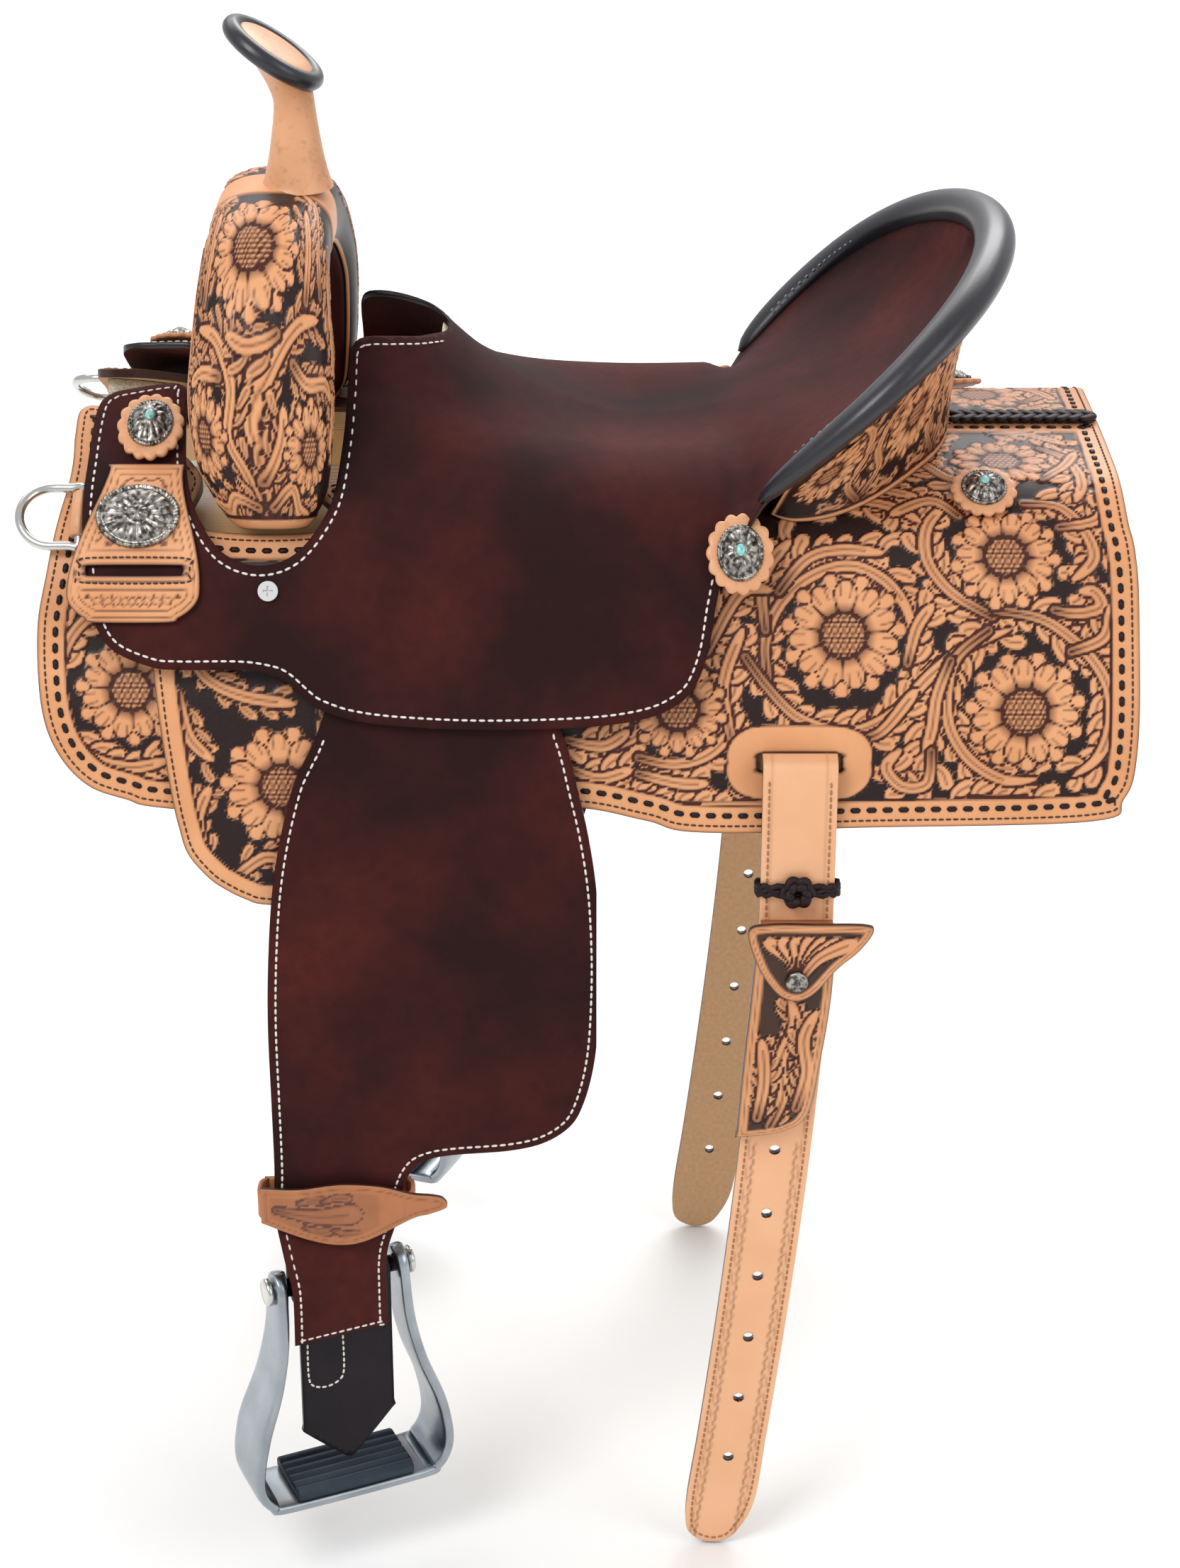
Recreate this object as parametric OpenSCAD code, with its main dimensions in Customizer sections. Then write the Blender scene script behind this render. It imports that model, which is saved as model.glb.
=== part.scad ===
// Western saddle: tree, skirts, seat, jockeys, fenders, stirrups and flank billets.
// X runs from the horn end (-) to the cantle end (+), Y from the near side (-) to the off side (+).
// The origin lies on the fleece under the middle of the saddle's spine line.

/* [Overall] */
// Length of the skirts, front edge to rear edge
saddle_len = 660; // [560:1:800]
// Drop from the spine line to the stirrup bolt
leather_drop = 506; // [440:1:600]
// Height of the cantle roll above the spine line at its rear
cantle_rise = 124; // [100:1:150]
// Height of the fork's top above the spine line
fork_rise = 152; // [135:1:185]

/* [Leather] */
// Thickness of the skirts
skirt_t = 6; // [4:0.5:8]
// Thickness of the fleece lining
fleece_t = 12; // [8:0.5:16]
// Thickness of the rigging cover flap
rigging_t = 4; // [3:0.5:6]
// Thickness of the fender and stirrup leather
fender_t = 5; // [4:0.5:7]
// Thickness of the seat and jockey leather
seat_t = 4.5; // [3:0.5:6]
// Thickness of the seat's foam pad
foam_t = 5; // [3:0.5:8]
// Thickness of the leather on the fork, horn and cantle back
cover_t = 3; // [2:0.5:4]

/* [Rigging] */
// Width of the flank billet
billet_w = 45; // [36:0.5:56]
// Thickness of the flank billet
billet_t = 6; // [4:0.5:8]
// Diameter of the billet's punched holes
hole_d = 7.2; // [5:0.1:9]
// Inside width of the breast collar dee
dee_in = 34; // [28:1:42]
// Thickness of the dee's steel bar
dee_bar = 6; // [4:0.5:8]
// Diameter of the round conchos
concho_d = 27; // [22:0.5:34]
// Width of the latigo keeper at its foot
keeper_w = 84; // [70:1:96]

/* [Stirrup] */
// Outside width of the stirrup at the tread
stirrup_w = 138; // [120:1:160]
// Outside width of the stirrup at the bolt
stirrup_top_w = 90; // [84:1:98]
// Height from the bolt to the underside of the tread
stirrup_h = 158; // [135:1:200]
// Depth of the stirrup's band, front to back
stirrup_depth = 48; // [40:1:60]
// Thickness of the stirrup's aluminium band
stirrup_t = 8; // [6:0.5:10]
// Diameter of the stirrup bolt
bolt_d = 12; // [8:0.5:14]
// Turn of the stirrup about the upright, front end outward
stirrup_yaw = 24; // [0:1:40]

/* [Hidden] */

tan_leather = "#c98a4b";
dark_leather = "#3a1a16";
black_leather = "#15151a";
steel_grey = "#9a9c9e";
wool = "#d9ccb0";
wood = "#b08a5a";
silver = "#8d8676";

spine_z = 20;                       // outer face of the skirts on the spine line
kx = saddle_len / 660;              // lengthwise scale of every outline
fit = 0.4;                          // gap between stacked leathers
slide = 2;                          // gap round the leather that swings
pad_gap = 1.6;                      // gap between the curved layers of the seat and of the cantle

// Layer offsets, measured outward from the skirt's outer face
rig_lo = fit;
rig_hi = rig_lo + rigging_t;
strap_lo = rig_hi + slide;
strap_hi = strap_lo + fender_t;
jockey_lo = strap_hi + slide;
jockey_hi = jockey_lo + seat_t;

// ---------- cross-section of the saddle's side: straights joined by two arcs ----------
flat_s = 70;
side_s = 230;
a_top = 4;
a_side = 66;
a_hem = 80;
r_top = 95;
r_low = 120;
arc_top = r_top * (a_side - a_top) * PI / 180;
arc_low = r_low * (a_hem - a_side) * PI / 180;
arc_end = flat_s + arc_top;
low_end = side_s + arc_low;

function angle_at(s) = s < flat_s ? a_top : s < arc_end ? a_top + (s - flat_s) / r_top * 180 / PI
    : s < side_s ? a_side : s < low_end ? a_side + (s - side_s) / r_low * 180 / PI : a_hem;
function run(s) = s < flat_s ? [s * cos(a_top), -s * sin(a_top)]
    : s < arc_end ? run(flat_s - 0.001) + r_top * [sin(angle_at(s)) - sin(a_top),
        cos(angle_at(s)) - cos(a_top)]
    : s < side_s ? run(arc_end - 0.001) + (s - arc_end) * [cos(a_side), -sin(a_side)]
    : s < low_end ? run(side_s - 0.001) + r_low * [sin(angle_at(s)) - sin(a_side),
        cos(angle_at(s)) - cos(a_side)]
    : run(low_end - 0.001) + (s - low_end) * [cos(a_hem), -sin(a_hem)];
// Place at girth distance s and offset o: [distance from the spine plane, height]
function side(s, o = 0) = run(s) + [0, spine_z] + o * [sin(angle_at(s)), cos(angle_at(s))];
function lerp(a, b, t) = a + (b - a) * t;
function ease(t) = let (u = min(1, max(0, t))) u * u * (3 - 2 * u);
function flat(v) = [for (a = v) for (b = a) b];
// Value at x on a polyline of [x, value] pairs
function along(x, p, i = 0) = i >= len(p) - 2 || x <= p[i + 1][0]
    ? lerp(p[i][1], p[i + 1][1], min(1, max(0, (x - p[i][0]) / (p[i + 1][0] - p[i][0])))) : along(x, p,
        i + 1);

girth_steps = 44;
// Extrusion along X of the side's cross-section between two offsets
module draped(lo, hi, s0, s1, x0, x1) {
    steps = [for (i = [0 : girth_steps]) lerp(s0, s1, i / girth_steps)];
    translate([x0, 0, 0]) rotate([90, 0, 90]) linear_extrude(x1 - x0)
        polygon([for (s = steps) let (p = side(s, hi)) [-p[0], p[1]],
                 for (i = [girth_steps : -1 : 0]) let (p = side(steps[i], lo)) [-p[0], p[1]]]);
}
// Prism across the near side with an outline in X and Z
module across(pts, y0 = 0, y1 = 300) {
    translate([0, -y0, 0]) rotate([90, 0, 0]) linear_extrude(y1 - y0) polygon(pts);
}
module both() {
    children();
    mirror([0, 1, 0]) children();
}
module near_or_off(off) {
    if (off) mirror([0, 1, 0]) children();
    else children();
}

// Closed skin between two grids of points; the edges are walled
function grid_faces(n, m, q, flip) = [for (i = [0 : n - 2]) for (j = [0 : m - 2]) for (k = [0, 1])
    let (a = q + i * m + j, b = a + 1, c = a + m, d = c + 1)
    flip ? (k == 0 ? [a, b, d] : [a, d, c]) : (k == 0 ? [a, d, b] : [a, c, d])];
function rim_loop(n, m) = [for (j = [0 : m - 1]) j, for (i = [1 : n - 1]) i * m + m - 1,
    for (j = [m - 2 : -1 : 0]) (n - 1) * m + j, for (i = [n - 2 : -1 : 1]) i * m];
module skin(outer, inner, flip = false) {
    n = len(outer);
    m = len(outer[0]);
    q = n * m;
    loop = rim_loop(n, m);
    walls = [for (i = [0 : len(loop) - 1]) for (k = [0, 1])
        let (a = loop[i], b = loop[(i + 1) % len(loop)])
        flip ? (k == 0 ? [b, a, a + q] : [b, a + q, b + q]) : (k == 0 ? [a, b, b + q] : [a, b + q, a + q])];
    polyhedron(concat(flat(outer), flat(inner)),
        concat(grid_faces(n, m, 0, flip), grid_faces(n, m, q, !flip), walls));
}
// Closed tube through rings of points, capped at both ends
module tube(rings, flip = false) {
    n = len(rings);
    m = len(rings[0]);
    sides = [for (i = [0 : n - 2]) for (j = [0 : m - 1]) for (k = [0, 1])
        let (a = i * m + j, b = i * m + (j + 1) % m, c = a + m, d = b + m)
        flip ? (k == 0 ? [a, b, d] : [a, d, c]) : (k == 0 ? [a, d, b] : [a, c, d])];
    cap0 = [for (j = [0 : m - 1]) j];
    cap1 = [for (j = [m - 1 : -1 : 0]) (n - 1) * m + j];
    rev0 = [for (j = [m - 1 : -1 : 0]) j];
    rev1 = [for (j = [0 : m - 1]) (n - 1) * m + j];
    polyhedron(flat(rings), concat(sides, flip ? [rev0, rev1] : [cap0, cap1]));
}

// ---------- seat surface ----------
// Height of the seat's centre line at x
seat_line = [[-140, 114], [-123, 110], [-101, 96], [-82, 77], [-65, 62], [-32, 43], [-3, 32], [26, 25],
             [57, 27], [90, 34], [120, 43], [150, 54], [180, 70], [205, 88], [225, 108], [240, 126]];
function seat_mid(x) = along(x / kx, seat_line);
// Half girth of the jockeys, front edge to rear edge
hem_line = [[-303, 128], [-301, 150], [-296, 180], [-285, 203], [-262, 214], [-210, 216], [-186, 220],
            [-167, 235], [-150, 243], [-115, 247], [-40, 249], [23, 245], [46, 239], [61, 228], [70, 206],
            [75, 177], [78, 160], [84, 140]];
rim_x = 150 * kx;
rim_w = 157;
rim_rear = 98 * kx;
rim_front = 130 * kx;
roll_r = 12;
rim_z0 = spine_z + cantle_rise;
// Cantle roll's centre line, turned t degrees from straight back, moved inward by g
function rim_height(x) = rim_z0 - 0.60 * (248 - x / kx) - 0.0016 * pow(248 - x / kx, 2);
function rim(t, g = 0) = let (x = rim_x + ((cos(t) > 0 ? rim_rear : rim_front) - g) * cos(t))
    [x, (rim_w - g) * sin(t), rim_height(x)];
tuck = roll_r + 1;
function dish_half(x) = let (r = (x > rim_x ? rim_rear : rim_front) - tuck)
    (rim_w - tuck) * sqrt(max(0, 1 - pow((x - rim_x) / r, 2)));
dish_x = 90 * kx;
function seat_off(x, s) = let (f = 0.5 + 0.5 * cos(180 * min(1, s / 128)))
    jockey_hi + (seat_mid(x) - spine_z - jockey_hi) * f * ease((x / kx + 190) / 50)
    + 6 * (1 - ease((x / kx + 190) / 50)) * (1 - ease(s / 120));
// Seat surface sunk by d: [y, z] at lengthwise place x and girth s
function seat_at(x, s, d = 0) = let (a = side(s, seat_off(x, s) - d), w = ease((x - dish_x) / 25 + 0.5),
        half = max(1, dish_half(x)), u = min(1, a[0] / half),
        z = seat_mid(x) + (rim_height(x) - 3 - seat_mid(x)) * pow(u, 2.4) - d)
    [a[0], lerp(a[1], z, w)];
// Girth at which the section, at offset o, reaches a given distance from the spine plane
function girth_of(y, o = 0, lo = 0, hi = 220, n = 14) = let (mid = (lo + hi) / 2) n == 0 ? mid
    : side(mid, o)[0] < y ? girth_of(y, o, mid, hi, n - 1) : girth_of(y, o, lo, mid, n - 1);
function seat_reach(x) = x < dish_x - 5 ? along(x / kx, hem_line) : girth_of(dish_half(x) - 1, jockey_hi);
function seat_grid(xs, across_n, d, reach, limit) = [for (x = xs)
    [for (j = [-across_n : across_n]) let (s = min(limit, reach(x)) * abs(j) / across_n, p = seat_at(x,
        s, d))
        [x, sign(j) * p[0], p[1]]]];
seat_xs = [for (x = [-303, -301, -296, -285, -262, -235, -210, -186, -167, -150, -138, -125, -115, -100, -85,
    -70, -50, -25, 0, 23, 46, 61, 70, 75, 78, 84, 90, 100, 115, 130, 150, 170, 188, 204, 217, 227,
        233]) x * kx];
fork_x = -194 * kx;
// Outline, in X and Z, of the opening that the fork stands in
module fork_opening(grow = 0) {
    across([for (p = [[-51, 90], [-50, 40], [-42, 8], [-26, -10], [-3, -17], [20, -12], [38, 6], [46, 40],
        [49, 90], [49, 330], [-51, 330]]) [fork_x + p[0] + sign(p[0]) * grow, p[1]]], -320, 320);
}
module seat_leather() {
    color(dark_leather) difference() {
        skin(seat_grid(seat_xs, 15, 0, function (x) seat_reach(x), 400),
             seat_grid(seat_xs, 15, seat_t, function (x) seat_reach(x), 400), true);
        fork_opening();
        // the two front jockeys stop short of the gullet
        for (i = [0 : 5]) hull() {
            translate([fork_x - 45 - i * 14, 0, 0]) cube([2, 64 + i * 8, 200], center = true);
            translate([fork_x - 59 - i * 14, 0, 0]) cube([2, 72 + i * 8, 200], center = true);
        }
        // hand hole behind the fork
        for (i = [0 : 2]) hull() {
            translate([fork_x + 40 + i * 10, 0, 0]) cylinder(h = 200, r = 46 - 3 * i, $fn = 32);
            translate([fork_x + 52 + i * 10, 0, 0]) cylinder(h = 200, r = 40 - 3 * i, $fn = 32);
        }
    }
}
pad_xs = [for (x = [-92, -75, -55, -30, -5, 20, 46, 61, 75, 84, 90, 100, 115, 130, 150, 170, 188]) x * kx];
module seat_foam() {
    lo = seat_t + pad_gap;
    color("#c9b46a")
        skin(seat_grid(pad_xs, 8, lo, function (x) min(100, girth_of(dish_half(max(x, 60)) - 22)), 100),
             seat_grid(pad_xs, 8, lo + foam_t, function (x)
                 min(100, girth_of(dish_half(max(x, 60)) - 22)), 100), true);
}
module ground_seat() {
    lo = seat_t + foam_t + 3 * pad_gap;
    color(wood)
        skin(seat_grid(pad_xs, 8, lo, function (x) min(62, girth_of(dish_half(max(x, 60)) - 24)), 62),
             seat_grid(pad_xs, 8, lo + 3, function (x) min(62, girth_of(dish_half(max(x, 60)) - 24)),
                 62), true);
}

// ---------- tree ----------
bar_hi = -16;
bar_lo = -38;
bar_s0 = 34;
bar_s1 = 150;
module bar_half(off) {
    near_or_off(off) color(wood) intersection() {
        draped(bar_lo, bar_hi, bar_s0, bar_s1, -262 * kx, 250 * kx);
        translate([0, -100, -150]) linear_extrude(300) polygon([for (p = [[-262, 60], [-250, 20], [-225,
            -20],
            [-150, -36], [-60, -30], [40, -30], [120, -40], [200, -30], [236, 0], [250, 40], [236, 68],
            [120, 80], [-60, 80], [-200, 80]]) [p[0] * kx, p[1]]]);
    }
}
module tree_bar_left() { bar_half(false); }
module tree_bar_right() { bar_half(true); }

// Arch of the fork: [distance from the spine plane, height, half thickness, half length along X, X shift]
fork_top = spine_z + fork_rise;
arch = [[124, -4, 13, 22, 4], [123, 4, 17, 29, 3], [121, 14, 20, 35, 2], [118, 30, 22, 40, 0],
        [115, 52, 24, 43, -1], [111, 74, 26, 44, -1], [103, 97, 27, 43, 0], [89, 118, 28, 41, 0],
        [68, 134, 28, 39, 0], [42, 143, 28, 38, 0], [15, 146, 27, 37, 0]];
arch_n = len(arch);
function arch_row(i) = let (r = i < arch_n ? arch[i] : arch[2 * arch_n - 1 - i],
        z = r[1] > 0 ? r[1] * (fork_top - 27) / 145 : r[1])
    [i < arch_n ? -r[0] : r[0], z, r[2], r[3], r[4]];
rows = [for (i = [0 : 2 * arch_n - 1]) arch_row(i)];
function arch_dir(i) = let (a = rows[max(0, i - 1)], b = rows[min(2 * arch_n - 1, i + 1)],
        d = [b[0] - a[0], b[1] - a[1]]) d / norm(d);
ring_n = 18;
// One section of the arch, shrunk by d; t runs round it from the front
function arch_ring(i, d, t0 = 0, t1 = 360, n = ring_n) = let (r = rows[i], v = arch_dir(i))
    [for (k = [0 : n - (t1 - t0 >= 360 ? 1 : 0)]) let (t = lerp(t0, t1, k / n), c = cos(t), s = sin(t),
        px = sign(c) * pow(abs(c), 0.75) * (r[3] - d), pr = sign(s) * pow(abs(s), 0.75) * (r[2] - d))
        [fork_x + r[4] + px, r[0] - v[1] * pr, r[1] + v[0] * pr]];
last = 2 * arch_n - 1;
module tree_fork() {
    color(wood) tube([for (i = [0 : last]) arch_ring(i, cover_t + fit)], true);
}
// The tooled cover wraps the outer face, front and back; the lining closes the underside
module fork_cover() {
    color(tan_leather) skin([for (i = [0 : last]) arch_ring(i, 0, -38, 218, 20)],
        [for (i = [0 : last]) arch_ring(i, cover_t, -38, 218, 20)], true);
}
module gullet_lining() {
    color(dark_leather) skin([for (i = [0 : last]) arch_ring(i, 0, 221, 319, 8)],
        [for (i = [0 : last]) arch_ring(i, cover_t, 221, 319, 8)], true);
}

cantle_floor = 3;
function foot(t, g) = let (x = 125 * kx + ((cos(t) > 0 ? 100 * kx : 60 * kx) - g) * cos(t),
        y = (121 - g) * sin(t), s = girth_of(abs(y))) [x, y, side(s, cantle_floor)[1]];
rim_end = 114;
back_end = 106;
rim_n = 28;
board_n = 24;
function wall_grid(n, g_top, g_foot, drop) = [for (i = [-n : 2 : n]) let (t = back_end * i / rim_n,
        a = foot(t, g_foot), b = rim(t, g_top) - [0, 0, drop])
    [for (k = [0 : 4]) let (u = k / 4, bulge = 5 * sin(180 * u))
        lerp(a, b, u) - bulge * [cos(t), sin(t), 0]]];
module cantle_back() {
    color(tan_leather) skin(wall_grid(rim_n, 2, 0, roll_r + 1),
        wall_grid(rim_n, 2 + cover_t, cover_t, roll_r + 1), true);
}
module tree_cantle() {
    lo = cover_t + pad_gap;
    color(wood) skin(wall_grid(board_n, 8 + lo, 3 + lo, roll_r + 9),
        wall_grid(board_n, 16 + lo, 11 + lo, roll_r + 14), true);
}
module cantle_binding() {
    color(black_leather) tube([for (i = [-rim_n : rim_n]) let (t = rim_end * i / rim_n, c = rim(t),
            r = roll_r * (1 - 0.3 * pow(abs(i) / rim_n, 4)))
        [for (k = [0 : 11]) c + r * [cos(30 * k) * cos(t), cos(30 * k) * sin(t), sin(30 * k)]]], true);
}

// ---------- horn ----------
horn_x = fork_x + 15;
horn_z = fork_top + 1 + fit;        // clear of the fork cover's crown
neck_r0 = 20;
neck_r1 = 12.5;
neck_h = 50;
cap_tilt = 34;
cap_r = 27;
cap_z = fork_top + 80;
cap_x = horn_x - 12;
module cap_place() {
    translate([cap_x, 0, cap_z]) rotate([0, cap_tilt, 0]) children();
}
module horn_core() {
    color(steel_grey) translate([horn_x, 0, horn_z]) {
        cylinder(h = neck_h, r1 = neck_r0 - cover_t - fit, r2 = neck_r1 - cover_t - fit);
        translate([0, 0, neck_h - 0.01]) cylinder(h = 6, r = neck_r1 - cover_t - fit);
    }
}
module horn_neck_cover() {
    color(tan_leather) translate([horn_x, 0, horn_z]) difference() {
        cylinder(h = neck_h, r1 = neck_r0, r2 = neck_r1);
        translate([0, 0, -0.1]) cylinder(h = neck_h + 0.2, r1 = neck_r0 - cover_t, r2 = neck_r1 - cover_t);
    }
}
module horn_cap() {
    color(tan_leather) difference() {
        hull() {
            cap_place() translate([0, 0, -3]) cylinder(h = 8, r = cap_r, $fn = 36);
            translate([horn_x, 0, horn_z + neck_h + fit]) cylinder(h = 2, r = neck_r1, $fn = 32);
        }
        translate([horn_x, 0, horn_z]) cylinder(h = neck_h + 6 + fit, r = neck_r1 - cover_t);
        // seat of the roll round the cap
        cap_place() rotate_extrude() translate([cap_r + 0.1, -6.4]) square([30, 12.4]);
    }
}
module horn_cap_binding() {
    color(black_leather) cap_place() rotate_extrude()
        polygon([for (p = [[cap_r + 0.3, -6], [cap_r + 3.5, -6], [cap_r + 6, -2.5], [cap_r + 6, 2],
            [cap_r + 3.5, 5.5], [cap_r + 0.3, 5.5]]) p]);
}

// ---------- skirts, fleece and rigging ----------
skirt_outline = [[-262, 60], [-285, 60], [-309, 60], [-315, 20], [-322, -8], [-331, -50], [-330, -92],
    [-320, -126],
    [-304, -146], [-280, -158], [-252, -163], [-120, -176], [-20, -158], [32, -170], [56, -177], [103, -179],
    [300, -173], [314, -167], [323, -156], [329, -132], [329, -60], [325, -14], [321, 10], [321, 60]];
skirt_hem = 340;
slot_x = 126 * kx;
slot_z = -134;
module skirt_shape(lo, hi, inset) {
    difference() {
        intersection() {
            draped(lo, hi, 1.5 + inset, skirt_hem, -340 * kx, 340 * kx);
            across([for (p = skirt_outline) [(p[0] - sign(p[0]) * inset) * kx,
                p[1] + (p[1] < 0 ? inset : 0)]]);
        }
        // clear of the gullet and of the seat's channel
        translate([0, 0, -60]) linear_extrude(200) polygon([for (p = [[-345, 60], [-345, -34], [-290, -40],
            [-262, -60], [-236, -88], [-236, -132], [-150, -132], [-150, -88], [96, -88], [112, -60],
                [118, 60]])
            [p[0] * kx, p[1]]]);
    }
}
module skirt_half(off) {
    near_or_off(off) color(tan_leather) difference() {
        skirt_shape(-skirt_t, 0, 0);
        billet_slot();
    }
}
// Slot that the flank billet comes out of
module billet_slot() {
    translate([slot_x, -240, slot_z]) rotate([-90, 0, 0]) linear_extrude(100)
        square([billet_w + 6, 12], center = true);
}
module skirt_left() { skirt_half(false); }
module skirt_right() { skirt_half(true); }
module fleece_half(off) {
    near_or_off(off) color(wool) union() {
        difference() {
            skirt_shape(-skirt_t - fit - fleece_t, -skirt_t - fit, 6);
            draped(bar_lo - 40, bar_hi + 30, bar_s0 - 40, bar_s1 + 12, -268 * kx, 256 * kx);
        }
        difference() {
            draped(bar_lo - fit - fleece_t, bar_lo - fit, bar_s0 - 2, bar_s1 + 20, -267 * kx, 255 * kx);
            translate([0, -240, -60]) linear_extrude(120) polygon([[-400, 90], [400, 90], [400, 89],
                [-400, 89]]);
        }
    }
}
module fleece_left() { fleece_half(false); }
module fleece_right() { fleece_half(true); }

rig_outline = [[-262, -80], [-262, -40], [-40, -40], [-34, -120], [-40, -180], [-60, -206], [-90, -218],
    [-160, -221], [-197, -220], [-220, -212], [-238, -197], [-249, -171], [-256, -125]];
module rigging_half(off) {
    near_or_off(off) color(tan_leather) intersection() {
        draped(rig_lo, rig_hi, 175, 380, -280 * kx, 0);
        across([for (p = rig_outline) [p[0] * kx, p[1]]]);
    }
}
module rigging_cover_left() { rigging_half(false); }
module rigging_cover_right() { rigging_half(true); }

// ---------- conchos, screws and lacing ----------
// Stands a disc on the near side at lengthwise place x, girth s and offset o
module on_side(x, s, o) {
    p = side(s, o);
    translate([x, -p[0], p[1]]) rotate([angle_at(s), 0, 0]) children();
}
rosette_d = concho_d * 1.5;
// [x, girth, offset] of the front, rear and jockey-corner conchos
concho_spots = [[-266, 80, jockey_hi + cover_t + 3], [238, 103, 3], [89, 152, jockey_hi + 4]];
module spots() {
    both() for (c = concho_spots) on_side(c[0] * kx, c[1], c[2]) children();
}
module rosettes() { color(tan_leather) spots() cylinder(h = 3, r = rosette_d / 2); }
module conchos() {
    color(silver) spots() translate([0, 0, 3 + fit]) difference() {
        union() {
            cylinder(h = 2, r = concho_d / 2);
            translate([0, 0, 2]) cylinder(h = 4, r1 = concho_d / 2 - 2, r2 = concho_d / 5);
        }
        translate([0, 0, 3]) cylinder(h = 4, r = 3);
    }
}
module concho_stones() { color("turquoise") spots() translate([0, 0, 6.05 + fit]) cylinder(h = 4, r = 2.6); }
screw_d = 12;
module jockey_screws() {
    color(steel_grey) both() on_side(-191 * kx, 170, jockey_hi + fit) difference() {
        cylinder(h = 2, r = screw_d / 2);
        translate([0, 0, 1.6]) cube([6, 1.2, 1.4], center = true);
        translate([0, 0, 1.6]) cube([1.2, 6, 1.4], center = true);
    }
}
lace_x0 = 226 * kx;
lace_x1 = 318 * kx;
module skirt_lacing() {
    color(dark_leather) translate([lace_x0, -9, spine_z + fit]) cube([lace_x1 - lace_x0, 18, 4]);
}

// ---------- dee ring ----------
dee_x = -306 * kx;
dee_s = 124;
dee_len = 34;
dee_off = 7;
module dee_place() {
    on_side(dee_x, dee_s, dee_off) children();
}
module dee_half(off) {
    r = dee_in / 2;
    near_or_off(off) color(steel_grey) dee_place() {
        translate([0, 0, -dee_bar / 2]) linear_extrude(dee_bar) difference() {
            union() {
                translate([-dee_len + r, 0]) circle(r + dee_bar * 0.8);
                translate([-dee_len + r, -r - dee_bar * 0.8]) square([dee_len - r + dee_bar / 2,
                    2 * r + dee_bar * 1.6]);
            }
            translate([-dee_len + r, 0]) circle(r);
            translate([-dee_len + r, -r]) square([dee_len - r + dee_bar, 2 * r]);
        }
        rotate([90, 0, 0]) cylinder(h = dee_in + 2, d = dee_bar - 1, center = true);
    }
}
module dee_ring_left() { dee_half(false); }
module dee_ring_right() { dee_half(true); }
// Leather loop round the dee's straight bar, tucked under the jockey
module dee_keeper_half(off) {
    loop_w = dee_in - 6;
    near_or_off(off) color(tan_leather) dee_place() difference() {
        union() {
            rotate([90, 0, 0]) cylinder(h = loop_w, d = dee_bar + 5, center = true);
            translate([11, 0, -2.6]) cube([22, loop_w, 5.4], center = true);
        }
        rotate([90, 0, 0]) cylinder(h = loop_w + 1, d = dee_bar - 1 + 2 * fit, center = true);
    }
}
module dee_keeper_left() { dee_keeper_half(false); }
module dee_keeper_right() { dee_keeper_half(true); }

// ---------- latigo keeper ----------
keeper_x = -266 * kx;
keeper_top = 100;
keeper_len = 88;
keeper_hinge = keeper_top + 2;
// Half width of the bell at a fraction u of its length
function bell(u) = keeper_w * (0.26 + 0.21 * ease(u * 1.25)) * (u > 0.8 ? sqrt(max(0,
    1 - pow((u - 0.8) / 0.24, 2))) : 1);
bell_n = 22;
module keeper_half(off) {
    lo = jockey_hi + 2 * fit;
    near_or_off(off) color(tan_leather) difference() {
        intersection() {
            draped(lo, lo + cover_t, keeper_top, keeper_top + keeper_len, keeper_x - 60, keeper_x + 60);
            across(concat(
                [for (i = [0 : bell_n]) let (u = i / bell_n) [keeper_x - 6 * u + bell(u),
                    side(keeper_top + keeper_len * u, lo)[1] + (i == 0 ? 6 : 0)]],
                [for (i = [bell_n : -1 : 0]) let (u = i / bell_n) [keeper_x - 6 * u - bell(u),
                    side(keeper_top + keeper_len * u, lo)[1] + (i == 0 ? 6 : 0)]]));
        }
        on_side(keeper_x - 6, keeper_top + keeper_len * 0.68, lo - 2) translate([-29, -2.5, 0]) cube([58,
            5, 12]);
    }
}
module latigo_keeper_left() { keeper_half(false); }
module latigo_keeper_right() { keeper_half(true); }
badge_a = 25;
badge_b = 17;
module badge_half(off) {
    near_or_off(off) color(silver) on_side(keeper_x - 3, keeper_top + 32,
        jockey_hi + 2 * fit + cover_t + 1.2)
        linear_extrude(2) polygon([for (i = [0 : 39]) [badge_a * cos(9 * i), badge_b * sin(9 * i)]]);
}
module keeper_badge_left() { badge_half(false); }
module keeper_badge_right() { badge_half(true); }

// ---------- stirrup leather, fender and stirrup ----------
strap_x = -88 * kx;
strap_w = 64;
strap_s0 = 80;
hinge_s = 254;
// Hidden upper part of the stirrup leather and fender, which swings on the tree bar
module stirrup_leather_half(off) {
    near_or_off(off) color(dark_leather) intersection() {
        draped(strap_lo, strap_hi, strap_s0, hinge_s - 2, strap_x - 90, strap_x + 90);
        across([for (p = [[-strap_w / 2, 60], [-strap_w / 2, -20], [-58, -70], [-68, -140], [66, -140],
            [56, -70],
            [strap_w / 2, -20], [strap_w / 2, 60]]) [strap_x + p[0], p[1]]]);
    }
}
module stirrup_leather_left() { stirrup_leather_half(false); }
module stirrup_leather_right() { stirrup_leather_half(true); }

hinge_p = side(hinge_s, (strap_lo + strap_hi) / 2);
hang_y = 212;
bolt_z = spine_z - leather_drop;
bolt_x = -161 * kx;
bolt_y = hang_y - 9;
kz = (hinge_p[1] - bolt_z) / 372;
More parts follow.
